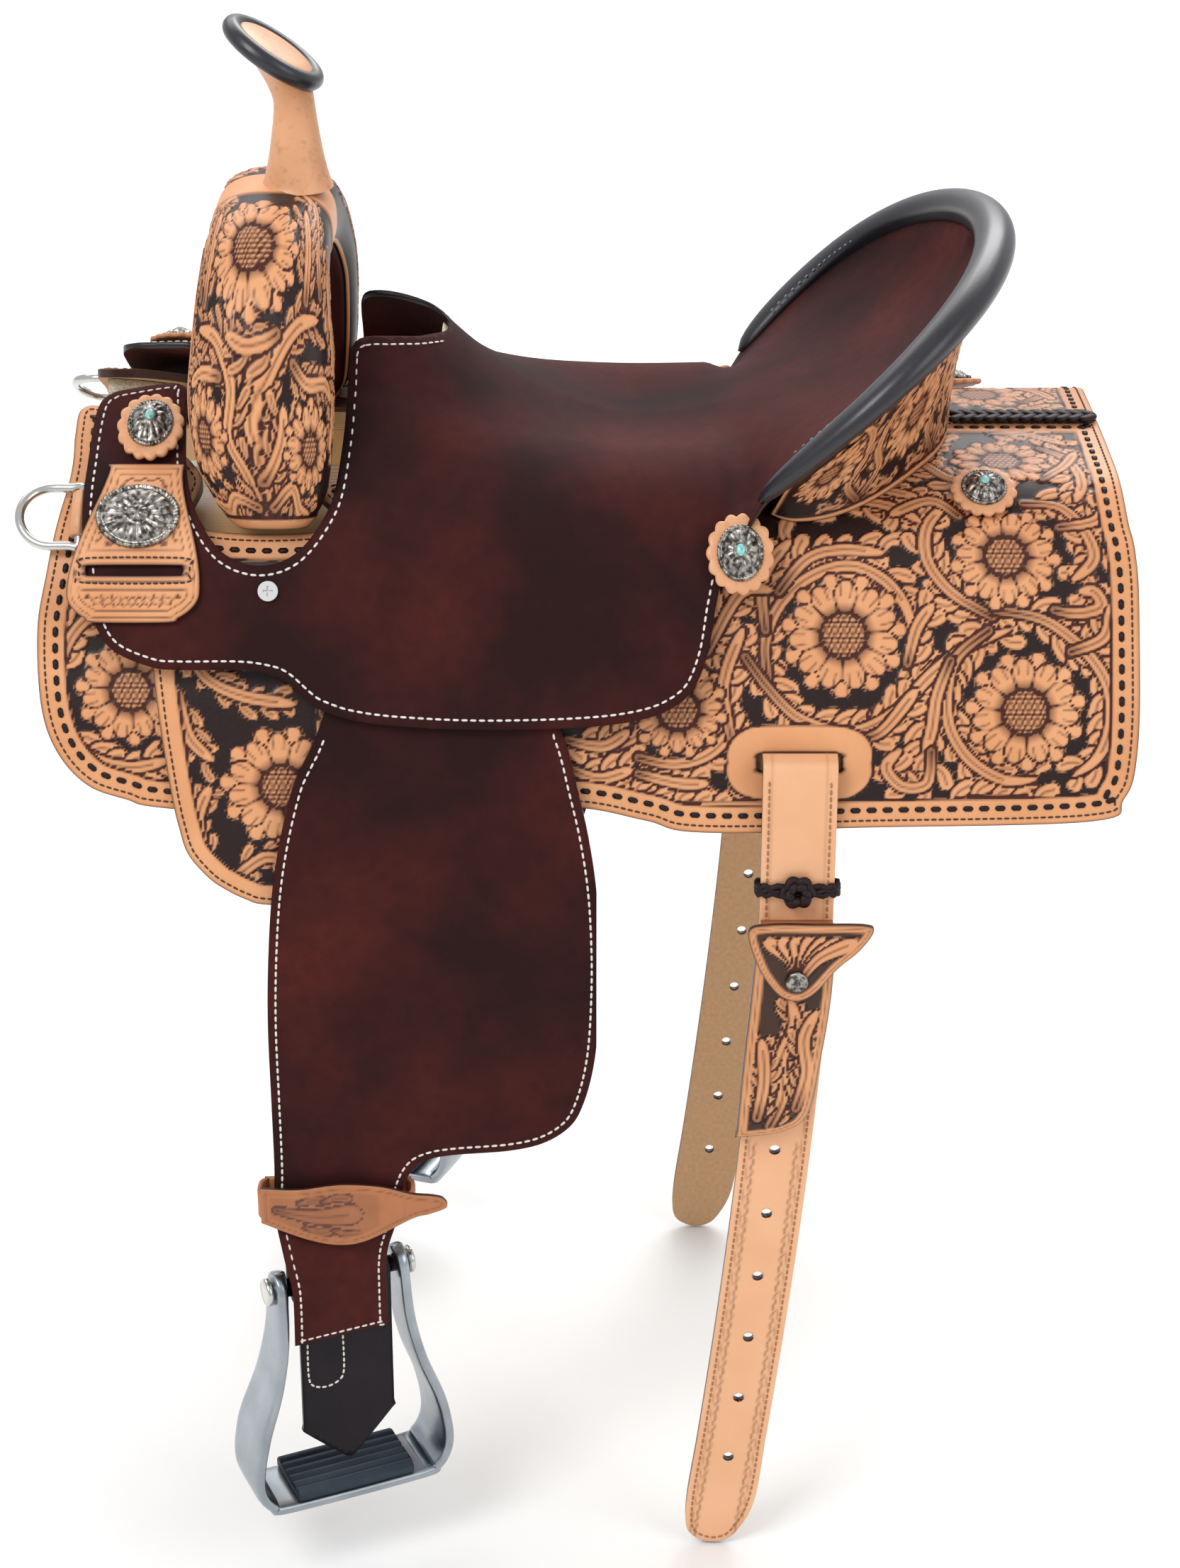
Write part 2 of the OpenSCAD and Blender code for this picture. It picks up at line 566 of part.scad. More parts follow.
// Fender's edges from the flex line down: [fraction of the drop x 372, front edge, rear edge]
fender_rows = [[3, -165, -15], [12, -169, -13], [30, -178, -8], [60, -186, -1], [95, -192, 3], [140,
    -197, 6],
    [185, -198, 5], [215, -198, 3], [240, -198, -3], [256, -198, -12], [268, -198, -30], [274, -198, -50],
    [277, -198, -84], [280, -198, -100], [286, -198, -110], [297, -199, -117], [325, -199, -121], [335,
        -198, -125],
    [345, -194, -127], [366, -190, -127], [407, -190, -128]];
// Distance from the spine plane of the fender's inner face at depth d below the flex line
function hang(d) = let (u = ease(d / 120)) lerp(hinge_p[0] - fender_t / 2 + 0.12 * d, hang_y - fender_t, u)
    + over_bolt * neck_turn(d);
over_bolt = bolt_d / 2 + 4.8;       // how far the neck stands out where it passes over the bolt's sleeve
function neck_turn(d) = ease((d / kz - 325) / 40);
function twist(d) = stirrup_yaw * neck_turn(d);
// The neck keeps its width on a longer saddle, because the stirrup does
function fender_point(r, u, o) = let (d = r[0] * kz, mid = -162 * kx, neck = ease((r[0] - 240) / 60),
        x = mid + (lerp(r[1], r[2], u) + 162) * lerp(kx, 1, neck), a = twist(d))
    [mid + (x - mid) * cos(a), -hang(d) + (x - mid) * sin(a) - o, hinge_p[1] - d];
module fender_half(off) {
    near_or_off(off) color(dark_leather) skin(
        [for (r = fender_rows) [for (k = [0 : 5]) fender_point(r, k / 5, fender_t)]],
        [for (r = fender_rows) [for (k = [0 : 5]) fender_point(r, k / 5, 0)]], true);
}
module fender_left() { fender_half(false); }
module fender_right() { fender_half(true); }

// Lower stirrup leather: it lies behind the neck, wraps the bolt sleeve and ends in a point
tail_w = 62;
tail_t = 4;
module tail_half(off) {
    wrap = bolt_d / 2 + 2.5;
    near_or_off(off) color(dark_leather) translate([bolt_x, -bolt_y, bolt_z]) rotate([0, 0, stirrup_yaw]) {
        translate([-tail_w / 2, 0, 0]) rotate([90, 0, 90]) linear_extrude(tail_w) difference() {
            union() {
                circle(wrap + tail_t);
                translate([wrap, 0]) square([tail_t, 48]);
            }
            circle(wrap);
        }
        translate([0, wrap + tail_t, 0]) rotate([90, 0, 0]) linear_extrude(tail_t)
            polygon([[-tail_w / 2, -4], [tail_w / 2, -4], [tail_w / 2, -100], [0, -134], [-tail_w / 2,
                -105]]);
    }
}
module leather_tail_left() { tail_half(false); }
module leather_tail_right() { tail_half(true); }

hobble_d = 311;
module hobble_half(off) {
    front = 46;
    rear = 49;
    y = hang_y + 2.7;
    near_or_off(off) color(tan_leather) translate([-161 * kx, -y, hinge_p[1] - hobble_d * kz]) {
        rotate([90, 0, 0]) linear_extrude(3) polygon([[-front, 13], [-22, 13], [5, 17], [30, 15], [rear, 8],
            [rear + 18, 7], [rear + 22, -1], [rear + 10, -6], [rear, -9], [20, -24], [2, -27], [-18,
                -23], [-front, -12]]);
        translate([-front, 0, -10]) cube([3, fender_t + 14, 20]);
        translate([rear - 3, 0, -7]) cube([3, fender_t + 14, 14]);
        translate([-front, fender_t + 11, -8]) cube([front + rear, 3, 16]);
    }
}
module hobble_strap_left() { hobble_half(false); }
module hobble_strap_right() { hobble_half(true); }

module stirrup_place(off) {
    near_or_off(off) translate([bolt_x, -bolt_y, bolt_z]) rotate([0, 0, stirrup_yaw]) children();
}
// Outline of the stirrup in its own plane, drawn in by d
function stirrup_pts(d) = let (a = stirrup_top_w / 2 - d, b = stirrup_w / 2 - d, h = stirrup_h - d)
    [[a - 1, 13], [a, 0], [a + 2, -h * 0.22], [lerp(a, b, 0.35), -h * 0.42], [lerp(a, b, 0.8), -h * 0.62],
     [b, -h * 0.78], [b, -h * 0.88], [b - 8, -h * 0.96], [b - 20, -h],
     [20 - b, -h], [8 - b, -h * 0.96], [-b, -h * 0.88], [-b, -h * 0.78], [-lerp(a, b, 0.8), -h * 0.62],
     [-lerp(a, b, 0.35), -h * 0.42], [-a - 2, -h * 0.22], [-a, 0], [1 - a, 13]];
module stirrup_band() {
    rotate([90, 0, 0]) linear_extrude(stirrup_depth, center = true) difference() {
        polygon(stirrup_pts(0));
        polygon(concat([[stirrup_top_w / 2 - stirrup_t, 20]], stirrup_pts(stirrup_t),
            [[stirrup_t - stirrup_top_w / 2, 20]]));
    }
}
// Side view of the band: narrow at the bolt, full depth at the tread
module stirrup_side() {
    rotate([90, 0, 90]) linear_extrude(200, center = true) hull() {
        circle(bolt_d / 2 + 6.5);
        translate([-stirrup_depth / 2, -stirrup_h - 1]) square([stirrup_depth, stirrup_h * 0.35]);
    }
}
module stirrup_frame_half(off) {
    stirrup_place(off) color(steel_grey) difference() {
        intersection() {
            stirrup_band();
            stirrup_side();
        }
        rotate([0, 90, 0]) cylinder(h = 200, d = bolt_d + 0.6, center = true);
    }
}
module stirrup_frame_left() { stirrup_frame_half(false); }
module stirrup_frame_right() { stirrup_frame_half(true); }
tread_t = 7;
module tread_half(off) {
    w = stirrup_w - 2 * stirrup_t - 42;
    stirrup_place(off) color(black_leather) translate([0, 0, -stirrup_h + stirrup_t + fit]) {
        translate([-w / 2, -stirrup_depth / 2 + 1, 0]) cube([w, stirrup_depth - 2, tread_t - 2]);
        for (i = [0 : 5]) translate([-w / 2 + 3, -stirrup_depth / 2 + 4 + i * (stirrup_depth - 12) / 5,
            tread_t - 2.01])
            cube([w - 6, 3.4, 2]);
    }
}
module stirrup_tread_left() { tread_half(false); }
module stirrup_tread_right() { tread_half(true); }
module bolt_half(off) {
    stirrup_place(off) color(steel_grey) {
        rotate([0, 90, 0]) cylinder(h = stirrup_top_w + 4, d = bolt_d, center = true);
        for (s = [-1, 1]) translate([s * (stirrup_top_w / 2 + 3), 0, 0]) rotate([0, 90, 0])
            cylinder(h = 4, d = bolt_d + 6, center = true);
    }
}
module stirrup_bolt_left() { bolt_half(false); }
module stirrup_bolt_right() { bolt_half(true); }

// ---------- flank billet and sheath ----------
billet_y = side(284, 0)[0] + 6;
billet_len = 566;
// Lean of the billet's centre line at depth d below the slot
function billet_cx(d) = slot_x - 44 * pow(max(0, d - 90) / (billet_len - 90), 1.5);
billet_holes = [for (i = [0 : 5]) 262 + i * 47];
tip_len = 34;
billet_ds = [0, 60, 120, 180, 240, 300, 360, 420, 480, billet_len - tip_len];
module billet_half(off) {
    half = billet_w / 2;
    near_or_off(off) color(tan_leather) translate([0, -billet_y, slot_z]) rotate([90, 0, 0]) difference() {
        linear_extrude(billet_t) polygon(concat([for (d = billet_ds) [billet_cx(d) + half, -d]],
            [[billet_cx(billet_len) + 15, 6 - billet_len], [billet_cx(billet_len) + 5, -billet_len],
             [billet_cx(billet_len) - 5, -billet_len], [billet_cx(billet_len) - 16, 8 - billet_len]],
            [for (i = [len(billet_ds) - 1 : -1 : 0]) [billet_cx(billet_ds[i]) - half, -billet_ds[i]]]));
        for (d = billet_holes) translate([billet_cx(d), -d, -1]) cylinder(h = billet_t + 2, d = hole_d);
    }
}
module flank_billet_left() { billet_half(false); }
module flank_billet_right() { billet_half(true); }
lace_d = 78;
module lace_half(off) {
    near_or_off(off) color(dark_leather) translate([slot_x, -billet_y - billet_t / 2, slot_z - lace_d])
        difference() {
            union() {
                cube([billet_w + 5, billet_t + 6, 9], center = true);
                translate([0, -billet_t / 2 - 3, 0]) rotate([90, 0, 0]) cylinder(h = 4, d = 18);
            }
            cube([billet_w + 0.6, billet_t + 0.6, 20], center = true);
        }
}
module billet_lace_left() { lace_half(false); }
module billet_lace_right() { lace_half(true); }

sheath_d0 = 108;
sheath_h = 140;
sheath_gap = 3;
module sheath() {
    y = billet_y + billet_t + fit;
    color(tan_leather) translate([0, -y, slot_z]) rotate([90, 0, 0]) difference() {
        linear_extrude(11) polygon([[slot_x - 24, -sheath_d0], [slot_x + 24, -sheath_d0],
            [slot_x + 17, -sheath_d0 - 84], [slot_x + 10, -sheath_d0 - sheath_h + 14],
            [slot_x - 6, -sheath_d0 - sheath_h + 4], [slot_x - 34, -sheath_d0 - sheath_h],
            [slot_x - 31, -sheath_d0 - 90]]);
        // pocket for a leather punch or knife, open at its mouth
        translate([0, 0, 2.5]) linear_extrude(6) polygon([[slot_x - 18, -sheath_d0 + 1], [slot_x + 18,
            -sheath_d0 + 1],
            [slot_x + 11, -sheath_d0 - 84], [slot_x - 2, -sheath_d0 - sheath_h + 20],
            [slot_x - 24, -sheath_d0 - sheath_h + 12]]);
    }
}
flap_z = slot_z - sheath_d0 + 6;
flap_y = billet_y + billet_t + fit + 12;
module sheath_flap() {
    color(tan_leather) translate([slot_x, -flap_y, flap_z]) {
        rotate([90, 0, 0]) linear_extrude(3)
            polygon([[-30, 3], [-16, 8], [40, 7], [46, 3], [38, -10], [25, -22], [12, -38], [0, -44],
                [-12, -40],
                [-24, -20]]);
        translate([-22, -0.5, 0.5]) cube([44, 12.1, 3]);
    }
}
module sheath_snap() {
    color(steel_grey) translate([slot_x, -flap_y - 3 - fit, flap_z - 30]) rotate([90, 0, 0])
        cylinder(h = 2.5, d1 = 14, d2 = 10);
}

tree_fork();
tree_cantle();
tree_bar_left();
tree_bar_right();
horn_core();
horn_neck_cover();
horn_cap();
horn_cap_binding();
fork_cover();
gullet_lining();
ground_seat();
seat_foam();
seat_leather();
cantle_back();
cantle_binding();
skirt_lacing();
rosettes();
conchos();
concho_stones();
jockey_screws();
skirt_left();
skirt_right();
fleece_left();
fleece_right();
rigging_cover_left();
rigging_cover_right();
dee_ring_left();
dee_ring_right();
dee_keeper_left();
dee_keeper_right();
latigo_keeper_left();
latigo_keeper_right();
keeper_badge_left();
keeper_badge_right();
stirrup_leather_left();
stirrup_leather_right();
fender_left();
fender_right();
leather_tail_left();
leather_tail_right();
hobble_strap_left();
hobble_strap_right();
stirrup_frame_left();
stirrup_frame_right();
stirrup_tread_left();
stirrup_tread_right();
stirrup_bolt_left();
stirrup_bolt_right();
flank_billet_left();
flank_billet_right();
billet_lace_left();
billet_lace_right();
sheath();
sheath_flap();
sheath_snap();
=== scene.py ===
import math
import bpy
import numpy as np
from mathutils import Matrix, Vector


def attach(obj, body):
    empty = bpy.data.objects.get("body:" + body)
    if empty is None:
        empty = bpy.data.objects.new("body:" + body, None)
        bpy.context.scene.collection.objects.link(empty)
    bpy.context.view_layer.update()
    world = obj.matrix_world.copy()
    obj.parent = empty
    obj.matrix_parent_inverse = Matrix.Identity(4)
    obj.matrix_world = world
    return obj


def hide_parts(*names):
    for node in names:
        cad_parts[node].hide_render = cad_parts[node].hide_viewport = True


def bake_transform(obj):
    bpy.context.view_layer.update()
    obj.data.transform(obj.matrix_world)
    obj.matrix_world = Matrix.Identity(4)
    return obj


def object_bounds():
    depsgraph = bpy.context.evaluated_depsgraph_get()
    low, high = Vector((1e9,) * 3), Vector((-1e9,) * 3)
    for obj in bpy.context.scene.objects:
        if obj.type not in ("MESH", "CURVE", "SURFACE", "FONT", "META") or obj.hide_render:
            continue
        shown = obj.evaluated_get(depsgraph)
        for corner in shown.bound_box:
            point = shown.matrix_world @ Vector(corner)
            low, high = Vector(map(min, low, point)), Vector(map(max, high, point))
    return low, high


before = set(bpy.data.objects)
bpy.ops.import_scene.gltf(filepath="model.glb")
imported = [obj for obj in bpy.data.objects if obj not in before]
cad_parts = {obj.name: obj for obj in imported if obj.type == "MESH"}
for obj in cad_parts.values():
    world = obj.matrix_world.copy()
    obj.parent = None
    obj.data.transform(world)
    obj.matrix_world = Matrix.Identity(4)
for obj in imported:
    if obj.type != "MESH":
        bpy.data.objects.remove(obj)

cad_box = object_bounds()

# ---------------------------------------------------------------------------------------------
# Studio: a pale floor under the lowest strap, four soft lights, and a camera that looks down
# 25 degrees at the near side, as a dealer pictures a saddle on its stand.
# ---------------------------------------------------------------------------------------------
scene = bpy.context.scene
scene.view_settings.view_transform = "Standard"


def linear(code, alpha=1.0):
    """An sRGB hex colour as linear RGBA."""
    parts = [int(code[i:i + 2], 16) / 255 for i in (1, 3, 5)]
    return tuple(p / 12.92 if p <= 0.04045 else ((p + 0.055) / 1.055) ** 2.4 for p in parts) + (alpha,)


def add(tree, kind, inputs=None, **settings):
    """Adds one node; inputs are constants or sockets to link, settings are its properties."""
    node = tree.nodes.new("ShaderNode" + kind)
    for key, value in settings.items():
        setattr(node, key, value)
    for key, value in (inputs or {}).items():
        if isinstance(value, bpy.types.NodeSocket):
            tree.links.new(value, node.inputs[key])
        else:
            node.inputs[key].default_value = value
    return node


def mesh_object(name, points, faces, mat=None, smooth=True):
    """A mesh at the origin from an array of points in metres and an array of four-cornered faces.

    The faces are turned round if the volume they close, a sixth of the sum of triple products, is
    negative, so that every closed piece shows its outside."""
    points, faces = np.asarray(points, np.float32).reshape(-1, 3), np.asarray(faces, np.int32).reshape(-1, 4)
    corner = (points[faces] - points.mean(axis=0)).astype(float)
    six_volumes = sum(np.einsum("ij,ij->", corner[:, 0],
                                np.cross(corner[:, k], corner[:, k + 1])) for k in (1, 2))
    if six_volumes < 0:
        faces = faces[:, ::-1]
    mesh = bpy.data.meshes.new(name)
    mesh.vertices.add(len(points))
    mesh.vertices.foreach_set("co", points.ravel())
    mesh.loops.add(faces.size)
    mesh.loops.foreach_set("vertex_index", faces.ravel())
    mesh.polygons.add(len(faces))
    mesh.polygons.foreach_set("loop_start", np.arange(0, faces.size, 4, dtype=np.int32))
    mesh.polygons.foreach_set("loop_total", np.full(len(faces), 4, np.int32))
    mesh.update(calc_edges=True)
    mesh.validate()
    if smooth:
        mesh.polygons.foreach_set("use_smooth", [True] * len(mesh.polygons))
    piece = bpy.data.objects.new(name, mesh)
    bpy.context.collection.objects.link(piece)
    if mat:
        mesh.materials.append(mat)
    return piece


camera_pitch = math.radians(25)
camera_place = (0.0, -2.028, 0.712)
camera_data = bpy.data.cameras.new("camera")
camera_data.sensor_fit = "VERTICAL"
camera_data.sensor_height = 36
camera_data.lens = 77.5
camera = bpy.data.objects.new("camera", camera_data)
camera.location = camera_place
camera.rotation_euler = (math.pi / 2 - camera_pitch, 0, 0)
scene.collection.objects.link(camera)
scene.camera = camera

floor_z = cad_box[0][2] - 0.002
floor_mat = bpy.data.materials.new("pale_floor_paint")
floor_mat.use_nodes = True
floor_mat.node_tree.nodes["Principled BSDF"].inputs["Base Color"].default_value = linear("#f2f1ef")
floor_mat.node_tree.nodes["Principled BSDF"].inputs["Roughness"].default_value = 0.9
floor = mesh_object("floor", [(-9, -9, floor_z), (9, -9, floor_z), (9, 9, floor_z), (-9, 9, floor_z)],
                    [(0, 1, 2, 3)], floor_mat, smooth=False)

world = bpy.data.worlds.new("studio")
world.use_nodes = True
world.node_tree.nodes["Background"].inputs[0].default_value = linear("#f4f5f8")
world.node_tree.nodes["Background"].inputs[1].default_value = 0.75
scene.world = world


def soft_light(name, place, target, size, power):
    """A square area light at place, turned to face target."""
    data = bpy.data.lights.new(name, "AREA")
    data.size = size
    data.energy = power
    lamp = bpy.data.objects.new(name, data)
    lamp.location = place
    towards = np.subtract(target, place)
    flat_run = math.hypot(towards[0], towards[1])
    lamp.rotation_euler = (math.atan2(flat_run, -towards[2]), 0, math.atan2(-towards[0], towards[1]))
    scene.collection.objects.link(lamp)


soft_light("key_light", (-1.4, -1.9, 2.3), (0, 0, -0.1), 1.3, 46)
soft_light("fill_light", (2.2, -1.6, 1.2), (0.1, 0, -0.1), 1.6, 18)
soft_light("back_light", (0.6, 2.4, 2.0), (0, 0, 0), 1.6, 30)
soft_light("floor_wash", (0, 4.5, 3.0), (0, 4.6, -0.7), 6, 200)

# ---------------------------------------------------------------------------------------------
# Leather panels: every flat leather is cut to an outline, laid over the saddle's side and
# given its thickness. The side's cross-section is the CAD model's: straights and two arcs.
# ---------------------------------------------------------------------------------------------
MM = 0.001
SPINE_Z = 20.0
SIDE_RUNS = [(70.0, 4, 4), (95 * math.radians(62), 4, 66), (160 - 95 * math.radians(62), 66, 66),
             (120 * math.radians(14), 66, 80), (900.0, 80, 80)]


def side(s, o=0.0):
    """Distance from the spine plane and height, in mm, at girth s and outward offset o."""
    s = np.asarray(s, float)
    y, z, angle = np.zeros_like(s), np.full_like(s, SPINE_Z), np.zeros_like(s)
    y0, z0, s0 = 0.0, SPINE_Z, 0.0
    for length, first, last in SIDE_RUNS:
        a, b = math.radians(first), math.radians(last)
        t = np.clip(s - s0, 0, length)
        if first == last:
            run, drop, turn = t * math.cos(a), t * math.sin(a), np.full_like(s, a)
            end = (length * math.cos(a), length * math.sin(a))
        else:
            radius = length / (b - a)
            turn = a + t / radius
            run, drop = radius * (np.sin(turn) - math.sin(a)), radius * (math.cos(a) - np.cos(turn))
            end = (radius * (math.sin(b) - math.sin(a)), radius * (math.cos(a) - math.cos(b)))
        here = s >= s0
        y, z, angle = np.where(here, y0 + run, y), np.where(here, z0 - drop, z), np.where(here, turn, angle)
        y0, z0, s0 = y0 + end[0], z0 - end[1], s0 + length
    return y + o * np.sin(angle), z + o * np.cos(angle)


def girth_at(z):
    """Girth s, in mm, at which the side's cross-section has fallen to height z."""
    s = np.linspace(0, 500, 2001)
    return np.interp(-np.asarray(z, float), -side(s)[1], s)


def ease(t):
    """Smooth step from 0 to 1: 3 t^2 - 2 t^3."""
    t = np.clip(t, 0, 1)
    return t * t * (3 - 2 * t)


def smooth_line(points, step=2.0, closed=True):
    """Catmull-Rom curve through the points, sampled every step; a doubled point is a corner."""
    p = np.asarray(points, float)
    n = len(p)
    out = []
    for i in range(n if closed else n - 1):
        if closed:
            a, b, c, d = p[(i - 1) % n], p[i], p[(i + 1) % n], p[(i + 2) % n]
        else:
            a, b, c, d = p[max(i - 1, 0)], p[i], p[i + 1], p[min(i + 2, n - 1)]
        length = np.linalg.norm(c - b)
        if length < 1e-6:
            continue
        t = np.arange(0, 1, step / max(length, step))[:, None]
        out.append(0.5 * (2 * b + (c - a) * t + (2 * a - 5 * b + 4 * c - d) * t ** 2
                          + (3 * b - 3 * c + d - a) * t ** 3))
    if not closed:
        out.append(p[-1:])
    return np.vstack(out)


def nearest(path, u, v, closed=False):
    """Distance, nearest point, run along the path and side (+ left) for each point (u, v)."""
    best = np.full(u.shape, 1e9)
    nu, nv, run, left = (np.zeros_like(best) for _ in range(4))
    walked = 0.0
    ends = np.vstack([path, path[:1]]) if closed else path
    for a, b in zip(ends[:-1], ends[1:]):
        d = b - a
        length = math.hypot(*d)
        if length < 1e-9:
            continue
        t = np.clip(((u - a[0]) * d[0] + (v - a[1]) * d[1]) / length ** 2, 0, 1)
        pu, pv = a[0] + t * d[0], a[1] + t * d[1]
        gap = (u - pu) ** 2 + (v - pv) ** 2
        hit = gap < best
        best = np.where(hit, gap, best)
        nu, nv, run = np.where(hit, pu, nu), np.where(hit, pv, nv), np.where(hit, walked + t * length, run)
        left = np.where(hit, np.sign(d[0] * (v - a[1]) - d[1] * (u - a[0])), left)
        walked += length
    return np.sqrt(best), nu, nv, run, left


def inside(path, u, v):
    """True where (u, v) lies inside the closed path, by counting crossings."""
    odd = np.zeros(u.shape, bool)
    for a, b in zip(path, np.roll(path, -1, axis=0)):
        if a[1] == b[1]:
            continue
        crosses = (a[1] > v) != (b[1] > v)
        odd ^= crosses & (u < (b[0] - a[0]) * (v - a[1]) / (b[1] - a[1]) + a[0])
    return odd


def boundary(faces):
    """Directed edges used by one face only."""
    edges = np.vstack([faces[:, [i, (i + 1) % 4]] for i in range(4)])
    key = np.sort(edges, axis=1)
    _, index, count = np.unique(key, axis=0, return_index=True, return_counts=True)
    return edges[index[count == 1]]


def turned(path, left=True):
    """The closed path, run so that its inside lies on the left, or on the right."""
    ends = np.roll(path, -1, axis=0)
    area = np.sum(path[:, 0] * ends[:, 1] - ends[:, 0] * path[:, 1])
    return path if (area > 0) == left else path[::-1]


def cut_grid(outline, holes, us, vs):
    """Grid points inside an outline and outside its holes; the rim ones are moved onto the edge."""
    u, v = (a.ravel() for a in np.meshgrid(us, vs, indexing="ij"))
    near = [nearest(path, u, v, closed=True) for path in [outline] + holes]
    keep = inside(outline, u, v)
    for path in holes:
        keep &= ~inside(path, u, v)
    which = np.argmin([n[0] for n in near], axis=0)
    gap, rim_u, rim_v = (np.choose(which, [n[k] for n in near]) for k in range(3))
    depth = gap * keep
    u, v = np.where(keep, u, rim_u), np.where(keep, v, rim_v)
    index = np.arange(len(u)).reshape(len(us), len(vs))
    quads = np.stack([index[:-1, :-1], index[1:, :-1], index[1:, 1:], index[:-1, 1:]], -1).reshape(-1, 4)
    quads = quads[keep[quads].any(axis=1)]
    used, quads = np.unique(quads, return_inverse=True)
    return u[used], v[used], depth[used], quads.reshape(-1, 4)


def panel(name, outline, us, vs, place, thick, mats, holes=(), carve=None, edge_round=1.2,
          back_step=None):
    """A leather panel cut to an outline: place(u, v, o) puts it in space with o from -thick to 0.

    carve(u, v, depth) gives relief, ground, shade and edge tone. mats are face, edge and back. The rim
    sinks by 0.35 of edge_round times the square of how near the point is to the edge."""
    outline = turned(outline)
    holes = [turned(h, left=False) for h in holes]
    u, v, depth, quads = cut_grid(outline, holes, us, vs)
    tone = np.zeros((len(u), 4))
    tone[:, 3] = 1
    relief = np.zeros_like(u)
    if carve:
        relief, tone[:, 0], tone[:, 1], tone[:, 2] = carve(u, v, depth)
    relief = relief - 0.35 * edge_round * np.clip(1 - depth / edge_round, 0, 1) ** 2
    tone[:, 2] = np.maximum(tone[:, 2], np.clip(1 - depth / 2, 0, 1) ** 2)
    points, faces, slots, tones = [place(u, v, relief)], [quads], [np.zeros(len(quads), int)], [tone]
    if back_step is None:
        rim = boundary(quads)
        points.append(place(u, v, np.full_like(u, -thick)))
        faces += [quads[:, ::-1] + len(u), np.stack([rim[:, 1], rim[:, 0], rim[:, 0] + len(u),
                                                     rim[:, 1] + len(u)], 1)]
        slots += [np.full(len(quads), 2), np.ones(len(rim), int)]
        tones.append(tone)
    else:
        bu, bv, _, back = cut_grid(outline, holes, np.arange(us[0], us[-1] + back_step, back_step),
                                   np.arange(vs[0], vs[-1] + back_step, back_step))
        base = len(u)
        points.append(place(bu, bv, np.full_like(bu, -thick)))
        faces.append(back[:, ::-1] + base)
        slots.append(np.full(len(back), 2))
        tones.append(np.tile([0, 0, 0, 1.0], (len(bu), 1)))
        base += len(bu)
        for path in [outline] + holes:
            n = len(path)
            k = np.arange(n)
            j = (k + 1) % n
            points += [place(path[:, 0], path[:, 1], np.full(n, o)) for o in (-0.35 * edge_round,
                    -thick / 2, -thick)]
            for r in (0, 1):
                top, low = base + r * n, base + (r + 1) * n
                faces.append(np.stack([low + k, low + j, top + j, top + k], 1))
                slots.append(np.ones(n, int))
            tones += [np.tile([0, 0, 1.0, 1.0], (n, 1))] * 3
            base += 3 * n
    faces = np.vstack(faces)
    piece = mesh_object(name, np.vstack(points) * MM, faces)
    for m in mats:
        piece.data.materials.append(m)
    piece.data.polygons.foreach_set("material_index", np.concatenate(slots))
    attribute = piece.data.color_attributes.new("tooling", "FLOAT_COLOR", "POINT")
    attribute.data.foreach_set("color", np.vstack(tones).astype(np.float32).ravel())
    return piece


def near_side(u, v, o):
    """Place on the near side: u along the saddle, v the girth from the spine line, o outward."""
    y, z = side(v, o)
    return np.stack([u, -y, z], -1)


def front_lift(x, s):
    """The front of the skirts and jockeys rides up beside the fork, most at its inner edge."""
    return 26 * ease((-205 - x) / 55) * (1 - ease((s - 25) / 80))


def front_place(u, v, o):
    """The near side with the rise of the front added; skirts, front jockeys and what sits on them."""
    at = near_side(np.asarray(u, float), np.asarray(v, float), o)
    at[..., 2] += front_lift(np.asarray(u, float), np.asarray(v, float))
    return at


def mirrored(piece, name):
    """The same piece on the off side, its faces turned to point outward again."""
    mesh = piece.data.copy()
    mesh.name = name
    points = np.empty(len(mesh.vertices) * 3, np.float32)
    mesh.vertices.foreach_get("co", points)
    points[1::3] *= -1
    mesh.vertices.foreach_set("co", points)
    mesh.flip_normals()
    twin = bpy.data.objects.new(name, mesh)
    bpy.context.collection.objects.link(twin)
    return twin


def fit(piece, body, slot, *nodes):
    """Rides the piece on its body and hides the CAD nodes that it stands for; slot, its finish, is not used.
    """
    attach(piece, body)
    if nodes:
        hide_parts(*nodes)


def fit_pair(piece, body, slot, *nodes):
    """Fits a near-side piece NAME_left and its mirror image NAME_right; "@" stands for the side."""
    twin = mirrored(piece, piece.name.replace("_left", "_right"))
    for part, hand in ((piece, "left"), (twin, "right")):
        fit(part, body.replace("@", hand), slot, *[n.replace("@", hand) for n in nodes])
    return piece, twin


def inset(path, gap):
    """The closed path moved inward by gap."""
    path = turned(path)
    ahead = np.roll(path, -3, axis=0) - np.roll(path, 3, axis=0)
    length = np.linalg.norm(ahead, axis=1, keepdims=True)
    return path + gap * np.stack([-ahead[:, 1], ahead[:, 0]], 1) / np.maximum(length, 1e-6)


def opened(points):
    """A closed path that has had a piece cut out, turned round to begin after the widest gap."""
    gaps = np.linalg.norm(points - np.roll(points, 1, axis=0), axis=1)
    return np.roll(points, -int(np.argmax(gaps)), axis=0)


